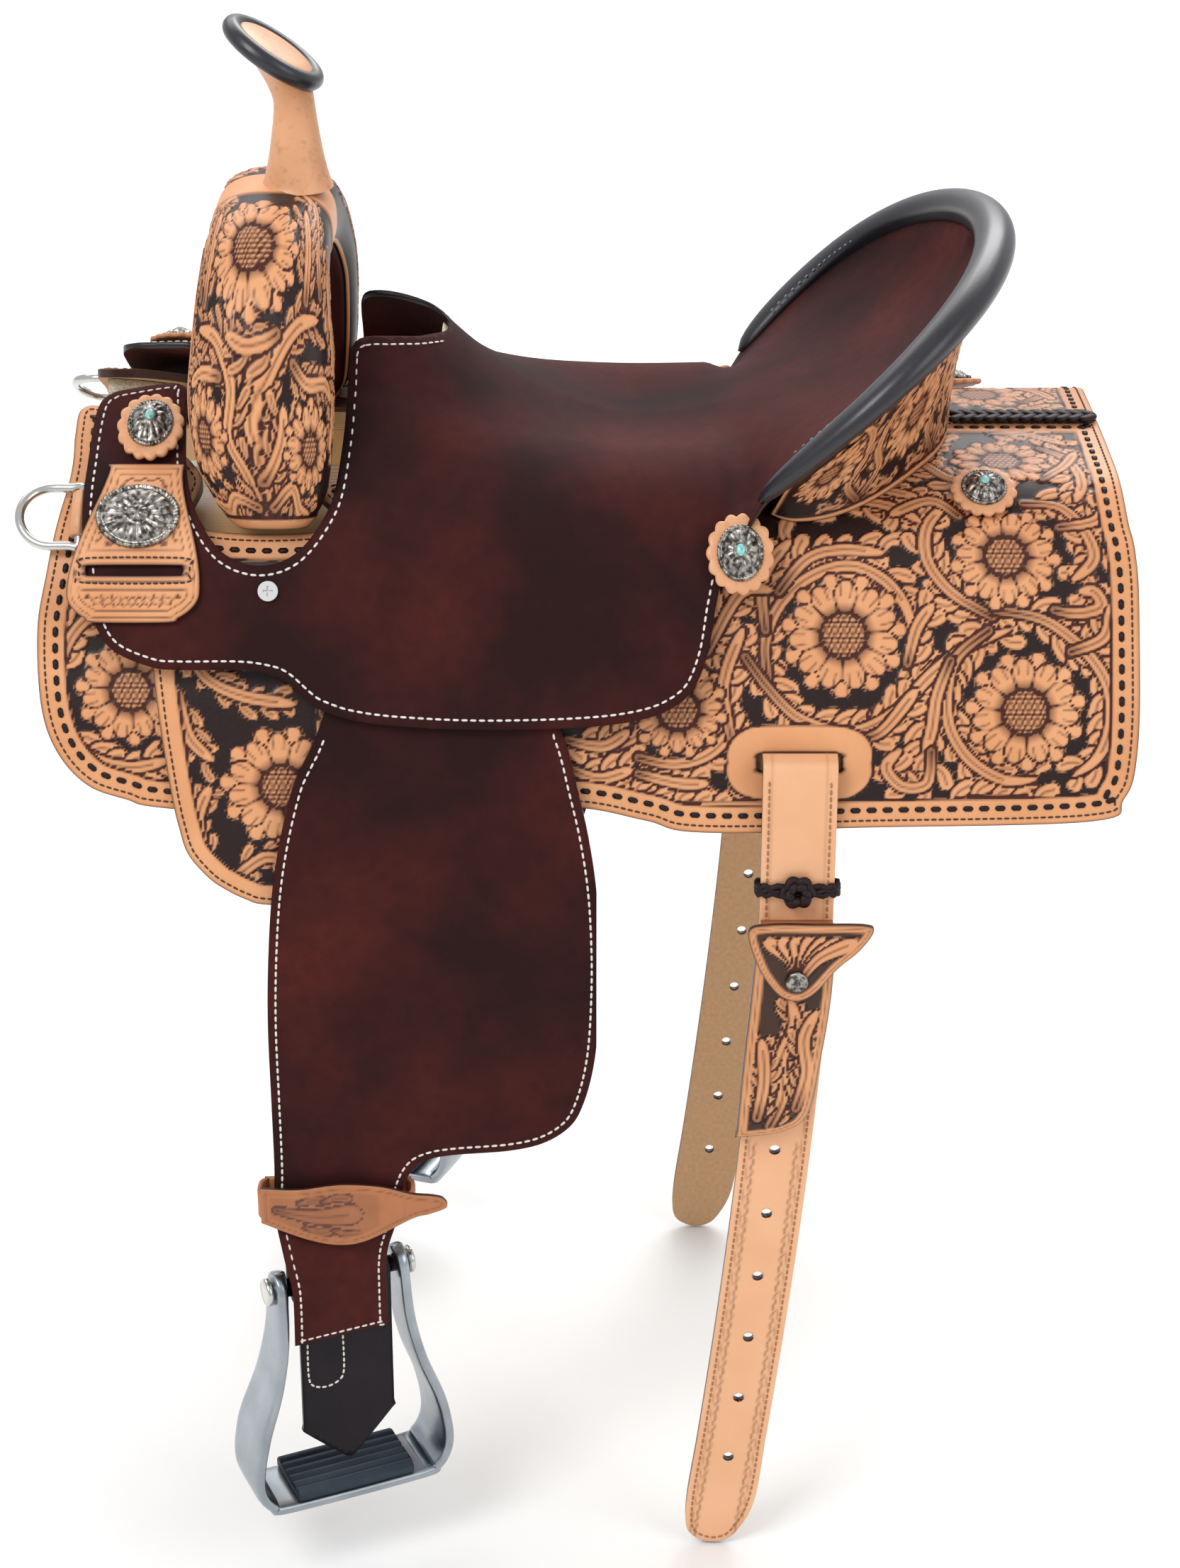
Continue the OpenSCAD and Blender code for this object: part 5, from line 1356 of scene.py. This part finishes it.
badge = discs("keeper_plaque_left", [(-269, 132, 22)],
              [(0.1, 0, 0, 0, 0), (24.6, 0, 0, 0, 0), (25, 1, 60, 0.4, 0),
              (24.4, 2.2, 60, 0, 0.6), (23, 2.4, 60, 0, 0.5), (22, 1.5, 0, 0, 0), (20.5, 2.1, 0, 0, 0),
              (19.5, 2.6, 16, 0, 0.5), (14, 3.0, 16, 0, 1.0), (9, 3.4, 16, 0, 0.6), (7, 3.0, 0, 0, 0),
              (5.8, 4.0, 8, 0, 0.4), (3, 4.8, 8, 0, 0.5), (0.1, 5.2, 0, 0, 0)], silver, sides=0.68,
              points=240)
fit_pair(badge, "keeper_@", "antique_silver", "keeper_badge_@")

# ---------------------------------------------------------------------------------------------
# Stirrups: a polished and brushed aluminium band with a ribbed rubber tread, hung on a steel bolt in
# a leather sleeve. The leather's pointed tail shows below, and a hobble strap buckles round the neck.
# ---------------------------------------------------------------------------------------------
TOP_W, FOOT_W, DROP, BAND_T, FOOT_DEPTH, EYE_R = 90.0, 138.0, 158.0, 8.0, 48.0, 12.5

# Brushed aluminium: pale, with fine lines along the band that smear its highlights.
aluminium, tree, shader = new_leather("brushed_cast_aluminium", 0.3)
shader.inputs["Metallic"].default_value = 1.0
shader.inputs["Anisotropic"].default_value = 0.4
tree.links.new(blend_colour(tree, noise(tree, 25, 3.0), "#868f97", "#b4bbc0"), shader.inputs["Base Color"])
bump(tree, shader, noise(tree, 0.6, 2.0), 0.1, 0.0002)

# Moulded rubber: blue-black, dull, dusty in its grooves.
rubber, tree, shader = new_leather("moulded_black_rubber", 0.6)
tree.links.new(blend_colour(tree, noise(tree, 10, 3.0), "#10202c", "#1e3140"), shader.inputs["Base Color"])


def stirrup_point(x, y, z):
    """From the stirrup's own axes, at its bolt, to the saddle's near side."""
    c, s = math.cos(YAW), math.sin(YAW)
    x, y, z = (np.asarray(a, float) for a in (x, y, z))
    return np.stack(np.broadcast_arrays(BOLT_X + c * x - s * y, -BOLT_Y + s * x + c * y, BOLT_Z + z), -1)


a_half, b_half = TOP_W / 2 - BAND_T / 2, FOOT_W / 2 - BAND_T / 2
leg = [(a_half - 1, 12.4), (a_half, 0), (a_half + 2, -0.22 * DROP),
       (a_half + 0.35 * (b_half - a_half), -0.42 * DROP),
       (a_half + 0.8 * (b_half - a_half), -0.62 * DROP), (b_half, -0.78 * DROP), (b_half - 1, -0.88 * DROP),
       (b_half - 8, -0.95 * DROP), (b_half - 20, -DROP + BAND_T / 2)]
band = smooth_line(leg + [(-x, z) for x, z in leg[::-1]], 3.0, closed=False)
half_depth = np.where(band[:, 1] > 0, np.sqrt(np.clip(EYE_R ** 2 - band[:, 1] ** 2, 2, None)),
                      EYE_R + (FOOT_DEPTH / 2 - EYE_R) * np.clip(-band[:, 1] / (0.65 * DROP), 0, 1))
way = np.gradient(band, axis=0)
way /= np.linalg.norm(way, axis=1, keepdims=True)
angle = np.arange(20) * 2 * math.pi / 20
ring_y = np.sign(np.cos(angle)) * np.abs(np.cos(angle)) ** 0.35
ring_n = np.sign(np.sin(angle)) * np.abs(np.sin(angle)) ** 0.6 * BAND_T / 2
frame_grid = stirrup_point(band[:, :1] - way[:, 1:] * ring_n, half_depth[:, None] * ring_y,
                           band[:, 1:] + way[:, :1] * ring_n)
fit_pair(loft("stirrup_band_left", frame_grid, aluminium, caps=True), "stirrup_@", "cast_aluminium",
         "stirrup_frame_@")

bolt_rows = [(-50, 4), (-50, 8), (-49, 9), (-46.5, 9), (-46.2, 6), (46.2, 6), (46.5, 9), (49, 9), (50, 8),
             (50, 4)]
bolt_ring = np.arange(24) * math.pi / 12
bolt = loft("stirrup_bolt_steel_left", [stirrup_point(np.full(24, x), r * np.cos(bolt_ring),
                                                      r * np.sin(bolt_ring))
                                        for x, r in bolt_rows], plated, caps=True)
fit_pair(bolt, "stirrup_@", "steel", "stirrup_bolt_@")

RIBS, TREAD_HALF_W, TREAD_Z = 6, 40.0, -DROP + BAND_T + 0.4
rib = [(-23, 0), (-23, 4.5)]
for i in range(RIBS):
    y = -20 + i * 7.3
    rib += [(y - 0.4, 5), (y, 7), (y + 3.4, 7), (y + 3.8, 5)]
rib = np.array(rib + [(23, 4.5), (23, 0)], float)
tread = loft("tread_rubber_left", [stirrup_point(np.full(len(rib), x), rib[:, 0] * w, TREAD_Z + rib[:, 1] * w)
                                   for x, w in ((-TREAD_HALF_W, 0.94), (-TREAD_HALF_W + 1.2, 1),
                                                (TREAD_HALF_W - 1.2, 1),
                                                (TREAD_HALF_W, 0.94))], rubber, caps=True)
fit_pair(tread, "stirrup_@", "tread_rubber", "stirrup_tread_@")


def tail_place(u, v, o):
    """u across the tail, v down it from the bolt, on the outer side of the sleeve."""
    return stirrup_point(u, -12.5 - o, -v)


# Dark smooth leather: oiled black-brown harness leather.
harness, tree, shader = new_leather("oiled_black_brown_harness_leather", 0.5)
shader.inputs["Specular IOR Level"].default_value = 0.2
tree.links.new(blend_colour(tree, noise(tree, 30, 3.0), "#100c12", "#221a22"), shader.inputs["Base Color"])
bump(tree, shader, noise(tree, 1.2, 3.0), 0.25, 0.0003)

tail_outline = smooth_line([(-31, 2), (-31, 2), (31, 2), (31, 2), (31, 60), (31, 98), (30, 102), (1, 133),
                            (-1, 133),
                            (-30, 106), (-31, 101), (-31, 60)], 2.5)
tail = panel("stirrup_leather_tail_left", tail_outline, fine((-32, 33, 4)), fine((0, 135, 4)), tail_place,
             4.0,
             (harness, black_edge, rough_out))
fit_pair(tail, "fender_@", "rough_out_leather", "leather_tail_@")
tab = smooth_line([(-27, 37), (-27, 62), (-24, 70), (-15, 73), (-6, 70), (-3, 62), (-3, 37)], 1.5,
                  closed=False)
fit_pair(seam("tail_tab_stitching_left", tab, tail_place, 4.4, 1.6, 0.7, 0.6, white_thread, closed=False),
         "fender_@",
         "rough_out_leather")
sleeve_ring = np.arange(28) * 2 * math.pi / 28
sleeve = [stirrup_point(np.full(28, x), r * np.cos(sleeve_ring), r * np.sin(sleeve_ring))
          for x, r in ((-31, 8.6), (-31, 12.2), (-30.5, 12.5), (30.5, 12.5), (31, 12.2), (31, 8.6),
                       (-31, 8.6))]
fit_pair(loft("bolt_sleeve_leather_left", sleeve, harness), "fender_@", "rough_out_leather")
strap_up = [stirrup_point([-31, 31, 31, -31], [8.5, 8.5, 12.5, 12.5], [z] * 4) for z in (0, 16, 32, 48)]
fit_pair(loft("inner_strap_leather_left", strap_up, harness, caps=True), "fender_@", "rough_out_leather")

HOBBLE_X, HOBBLE_Y, HOBBLE_Z = -161.0, 214.7, -425.0
hobble_outline = smooth_line([(-46, -13), (-46, -13), (-22, -13), (5, -17), (30, -15), (49, -9), (63, -7),
                              (69, -5),
                              (71, 1), (60, 6), (49, 9), (20, 24), (2, 27), (-18, 23), (-46, 12),
                              (-46, 12)], 2.0)


def hobble_place(u, v, o):
    """u along the strap, v down; it bows 3 mm outward over the neck and closes in at its front end."""
    bow = 3 * np.cos(np.clip(u / 60, -1, 1) * math.pi / 2)
    return np.stack([HOBBLE_X + u, -(HOBBLE_Y + 3 + bow + o), HOBBLE_Z - v], -1)


def hobble_carving(u, v, depth):
    """A leaf pressed along the middle, a border crease and pricked ground."""
    art = canvas(u, v)
    stroke(art, [(-36, 2), (-10, 6), (18, 3)], 9, root=0.3, swell=1.2, tip=12, top=0.1, vein=0.5)
    for x, y, m in ((-22, -3, -1), (-6, -5, -1), (-18, 14, 1), (0, 16, 1)):
        stroke(art, [(x, y), (x + 9, y + 3 * m), (x + 18, y + 2 * m)], 4, root=0.4, swell=1.1, tip=6,
               top=0.0, vein=0.3)
    crease = np.exp(-((depth - 3) / 0.5) ** 2)
    flat = np.clip((depth - 5) / 1.5, 0, 1) * np.clip((30 - u) / 3, 0, 1)
    return ((art["z"] + 1.1) * 0.6 * flat - 0.45 * crease, art["ground"] * 0.3 * flat,
            0.6 * crease + (art["shade"] + 0.25) * flat, 0 * u)


# Saddle-tan leather: the same hide, dyed orange-brown and burnished by use.
saddle_tan, tree, shader = new_leather("burnished_saddle_tan_leather", 0.42, coat=0.12)
tone_in = tone_nodes(tree)
colour = blend_colour(tree, noise(tree, 22, 3.0), "#9c5a33", "#bd7a49")
colour = blend_colour(tree, tone_in[1], colour, "#5b2e1c")
tree.links.new(colour, shader.inputs["Base Color"])
bump(tree, shader, noise(tree, 1.1, 3.0), 0.25, 0.0003)

hobble = panel("hobble_strap_leather_left", hobble_outline, fine((-47, 73, 1.4)), fine((-19, 29, 1.4)),
               hobble_place,
               3.0, (saddle_tan, dyed_edge, flesh_side), carve=hobble_carving)
fit_pair(hobble, "fender_@", "tooled_leather", "hobble_strap_@")
back_run = np.array([(44, -1.5), (48, 0.5), (49.5, 5), (49, 14), (46, 18), (40, 19), (-38, 19), (-43, 18),
                     (-46.5, 14),
                     (-47, 5), (-46, 0.5), (-42, -1.5)])
back_run = smooth_line(back_run, 3.0, closed=False)
run_way = np.gradient(back_run, axis=0)
run_way /= np.linalg.norm(run_way, axis=1, keepdims=True)
strap_ring = np.array([(-1.4, -8), (-1.4, 8), (-1.1, 9), (1.1, 9), (1.4, 8), (1.4, -8), (1.1, -9),
                       (-1.1, -9)])
strap_grid = np.stack([HOBBLE_X + back_run[:, :1] - run_way[:, 1:] * strap_ring[:, 0],
                       -HOBBLE_Y - 1.5 + back_run[:, 1:] + run_way[:, :1] * strap_ring[:, 0],
                       HOBBLE_Z + np.broadcast_to(strap_ring[:, 1], (len(back_run), 8))], -1)
fit_pair(loft("hobble_back_leather_left", strap_grid, saddle_tan, caps=True), "fender_@", "tooled_leather")

# ---------------------------------------------------------------------------------------------
# Flank billets: a thick tan strap a side, threaded through the skirt's slot, stitched and punched,
# with a braided dark lace round it. The near one carries a small sheath with a snapped flap.
# ---------------------------------------------------------------------------------------------
BILLET_Y, BILLET_T, BILLET_LEN, HOLE_R = 192.09, 6.0, 566.0, 3.6


def billet_middle(d):
    """The billet's centre line at depth d: it leans forward by 44 mm, as the power 1.5."""
    return SLOT_X - 44 * (np.maximum(0, d - 90) / (BILLET_LEN - 90)) ** 1.5


def billet_place(u, v, o):
    """u along the saddle, v down from the slot; above it the strap turns in through the slot."""
    tuck = np.clip(-v / 14, 0, 1)
    return np.stack([u, -(BILLET_Y + BILLET_T - 14 * tuck ** 2 + o), SLOT_Z - v - 7 * tuck ** 2], -1)


def billet_carving(u, v, depth):
    """A row of pressed half-moons and a crease inside the stitching, below the sheath."""
    from_side = BILLET_W / 2 - np.abs(u - billet_middle(v))
    wave = np.exp(-((from_side - 8.2 - 1.6 * np.abs(np.sin(v / 2.3))) / 0.9) ** 2) * np.clip((v - 255) / 4,
            0, 1)
    crease = np.exp(-((from_side - 6) / 0.6) ** 2)
    return -0.35 * wave - 0.4 * crease, 0 * u, 0.75 * wave + 0.45 * crease, 0 * u


ds = np.array([-13, -13, 20, 60, 120, 180, 240, 300, 360, 420, 480, 532], float)
tip = float(billet_middle(BILLET_LEN))
right_edge = np.stack([billet_middle(ds) + BILLET_W / 2, ds], 1)
left_edge = np.stack([billet_middle(ds) - BILLET_W / 2, ds], 1)[::-1]
billet_outline = smooth_line(np.vstack([right_edge,
                                        [(tip + 16, 557), (tip + 6, 565), (tip - 6, 565), (tip - 17, 556)],
                                        left_edge]), 3.0)
circle = np.radians(np.arange(0, 360, 24))
billet_holes = [np.stack([billet_middle(d) + HOLE_R * np.cos(circle), d + HOLE_R * np.sin(circle)], 1)
                for d in 262 + 47 * np.arange(6)]
# Natural billet leather: pale skirting leather, warm where it has been oiled.
billet_tan, tree, shader = new_leather("natural_skirting_leather", 0.46, coat=0.1)
tone_in = tone_nodes(tree)
colour = blend_colour(tree, noise(tree, 60, 3.0), "#dc9c6e", "#f2bd93")
colour = blend_colour(tree, tone_in[1], colour, "#8a5733")
tree.links.new(colour, shader.inputs["Base Color"])
bump(tree, shader, noise(tree, 1.1, 3.0), 0.22, 0.0003)
billet = panel("flank_billet_leather_left", billet_outline, fine((40, 152, 1.5)),
               fine((-14, 250, 3), (250, 568, 1.6)),
               billet_place, BILLET_T, (billet_tan, dyed_edge, flesh_side), holes=billet_holes,
               carve=billet_carving)
fit_pair(billet, "billet_@", "tooled_leather", "flank_billet_@")
# Tan thread, a little darker than the strap.
tan_thread, tree, shader = new_leather("tan_waxed_thread", 0.6)
tree.links.new(blend_colour(tree, noise(tree, 2), "#8a5a38", "#b98557"), shader.inputs["Base Color"])
billet_line = inset(billet_outline, 4.0)
billet_line = opened(billet_line[billet_line[:, 1] > 6])
fit_pair(seam("flank_billet_stitching_left", billet_line, billet_place, 4.6, 1.7, 0.7, 0.5, tan_thread,
              closed=False),
         "billet_@", "tooled_leather")

LACE_D = 78.0
loop = np.arange(48) * 2 * math.pi / 48
loop_x = SLOT_X + 24.6 * np.sign(np.cos(loop)) * np.abs(np.cos(loop)) ** 0.5
loop_y = -BILLET_Y - BILLET_T / 2 + 5.2 * np.sign(np.sin(loop)) * np.abs(np.sin(loop)) ** 0.5
for i, (rise, phase) in enumerate(((-2.6, 0), (0.0, 1), (2.6, 2))):
    strand = np.stack([loop_x, loop_y, SLOT_Z - LACE_D + rise + 0.9 * np.sin(12 * loop + 2.1 * phase)], 1)
    strand = bar("billet_lace_strand_%d_left" % (i + 1), strand, 1.9, dark_lace, corners=8, closed=True,
                 out=(0, 0, 1))
    fit_pair(strand, "billet_@", "black_leather", *(["billet_lace_@"] if i == 0 else []))
knot_a = np.linspace(0, 2 * math.pi, 60, endpoint=False)
for i, (reach, high) in enumerate(((8, 4), (5, 6.5))):
    knot = np.stack([SLOT_X + reach * np.cos(knot_a) * (1 + 0.12 * np.cos(6 * knot_a)),
                     -BILLET_Y - BILLET_T - high - 0.8 * np.sin(6 * knot_a),
                     SLOT_Z - LACE_D + reach * np.sin(knot_a) * (1 + 0.12 * np.cos(6 * knot_a))], 1)
    fit_pair(bar("billet_lace_knot_%d_left" % (i + 1), knot, 2.6, dark_lace, corners=8, closed=True),
             "billet_@",
             "black_leather")

SHEATH_Y, SHEATH_T = BILLET_Y + BILLET_T + 0.4, 11.0
sheath_outline = smooth_line([(102, 108), (102, 108), (150, 108), (150, 108), (148, 150), (143, 192),
                              (136, 231),
                              (120, 244), (92, 248), (92, 244), (95, 198), (99, 150)], 2.5)


def sheath_place(u, v, o):
    """u along the saddle, v down from the slot, o outward from the sheath's front."""
    return np.stack([u, -(SHEATH_Y + SHEATH_T + o), SLOT_Z - v], -1)


def sheath_carving(u, v, depth):
    """The front is domed over its pocket, with leaves that grow up from its foot."""
    art = canvas(u, v)
    for route in ([(112, 238), (120, 215), (118, 190), (126, 165), (122, 145)],
                  [(104, 232), (108, 205), (106, 175)],
                  [(128, 225), (134, 200), (132, 175), (140, 155)]):
        scroll(art, route, wide=4.6, length=14, every=8)
    fade = np.clip((depth - 5) / 1.5, 0, 1)
    crease = np.exp(-((depth - 3.2) / 0.6) ** 2)
    dome = -4 * np.exp(-depth / 5)
    return (dome + (art["z"] + 1.1) * 0.6 * fade - 0.4 * crease, art["ground"] * 0.95 * fade,
            art["shade"] * fade + 0.4 * crease, 0 * u)


sheath = panel("sheath_leather", sheath_outline, fine((91, 152, 1.3)), fine((107, 249, 1.3)), sheath_place,
               SHEATH_T,
               (tooled, dyed_edge, flesh_side), carve=sheath_carving)
fit(sheath, "billet_left", "tooled_leather", "sheath")

FLAP_Z, FLAP_Y = SLOT_Z - 102.0, BILLET_Y + BILLET_T + 12.4
flap_outline = smooth_line([(-30, -3), (-16, -8), (10, -8), (40, -7), (46, -3), (38, 10), (25, 22),
                            (12, 38), (2, 44),
                            (-8, 42), (-16, 34), (-24, 20)], 2.0)


def flap_place(u, v, o):
    """u along the saddle, v down from the flap's hinge."""
    return np.stack([SLOT_X + u, -(FLAP_Y + 3 + 1.5 * np.cos(np.clip(u / 40, -1, 1) * math.pi / 2) + o),
                     FLAP_Z - v], -1)


def flap_carving(u, v, depth):
    """Leaves across the flap towards its point."""
    art = canvas(u, v)
    for i in range(7):
        reach = -22 + 9.5 * i
        stroke(art, [(2, 30), (2 + reach * 0.35, 14), (2 + reach, -1 + abs(reach) * 0.12)], 6.5, root=0.4,
               swell=1.25,
               tip=9, top=0.1, vein=0.4)
    fade = np.clip((depth - 4) / 1.5, 0, 1)
    crease = np.exp(-((depth - 2.6) / 0.5) ** 2)
    return ((art["z"] + 1.1) * 0.5 * fade - 0.4 * crease, art["ground"] * 0.95 * fade,
            art["shade"] * fade + 0.4 * crease, 0 * u)


flap = panel("sheath_flap_leather", flap_outline, fine((-32, 48, 1.3)), fine((-10, 46, 1.3)), flap_place, 3.0,
             (tooled, dyed_edge, flesh_side), carve=flap_carving)
fit(flap, "flap", "tooled_leather", "sheath_flap")
tab_rings = [np.array([(SLOT_X - 22, y, FLAP_Z + 0.5 - sink), (SLOT_X + 22, y, FLAP_Z + 0.5 - sink),
                       (SLOT_X + 22, y, FLAP_Z + 3.5 - sink), (SLOT_X - 22, y, FLAP_Z + 3.5 - sink)])
             for y, sink in ((-FLAP_Y - 1.5, 0), (-FLAP_Y + 3, -0.3), (-FLAP_Y + 8, -0.3), (-FLAP_Y + 12, 0))]
fit(loft("sheath_flap_hinge_leather", tab_rings, saddle_tan, caps=True), "flap", "tooled_leather")
snap = discs("snap_cap", [(0, 30, 5.2)], [(0.1, -1, 0, 0, 0), (7, -1, 0, 0, 0), (7, 0.6, 0, 0, 0),
                                          (6, 1.8, 0, 0, 0),
             (4.6, 2.0, 0, 0, 0), (3.8, 1.6, 0, 0, 0), (0.1, 1.9, 0, 0, 0)], silver,
             place=lambda u, v, o: flap_place(u, v, np.asarray(o) - 4), points=40)
fit(snap, "flap", "antique_silver", "sheath_snap")
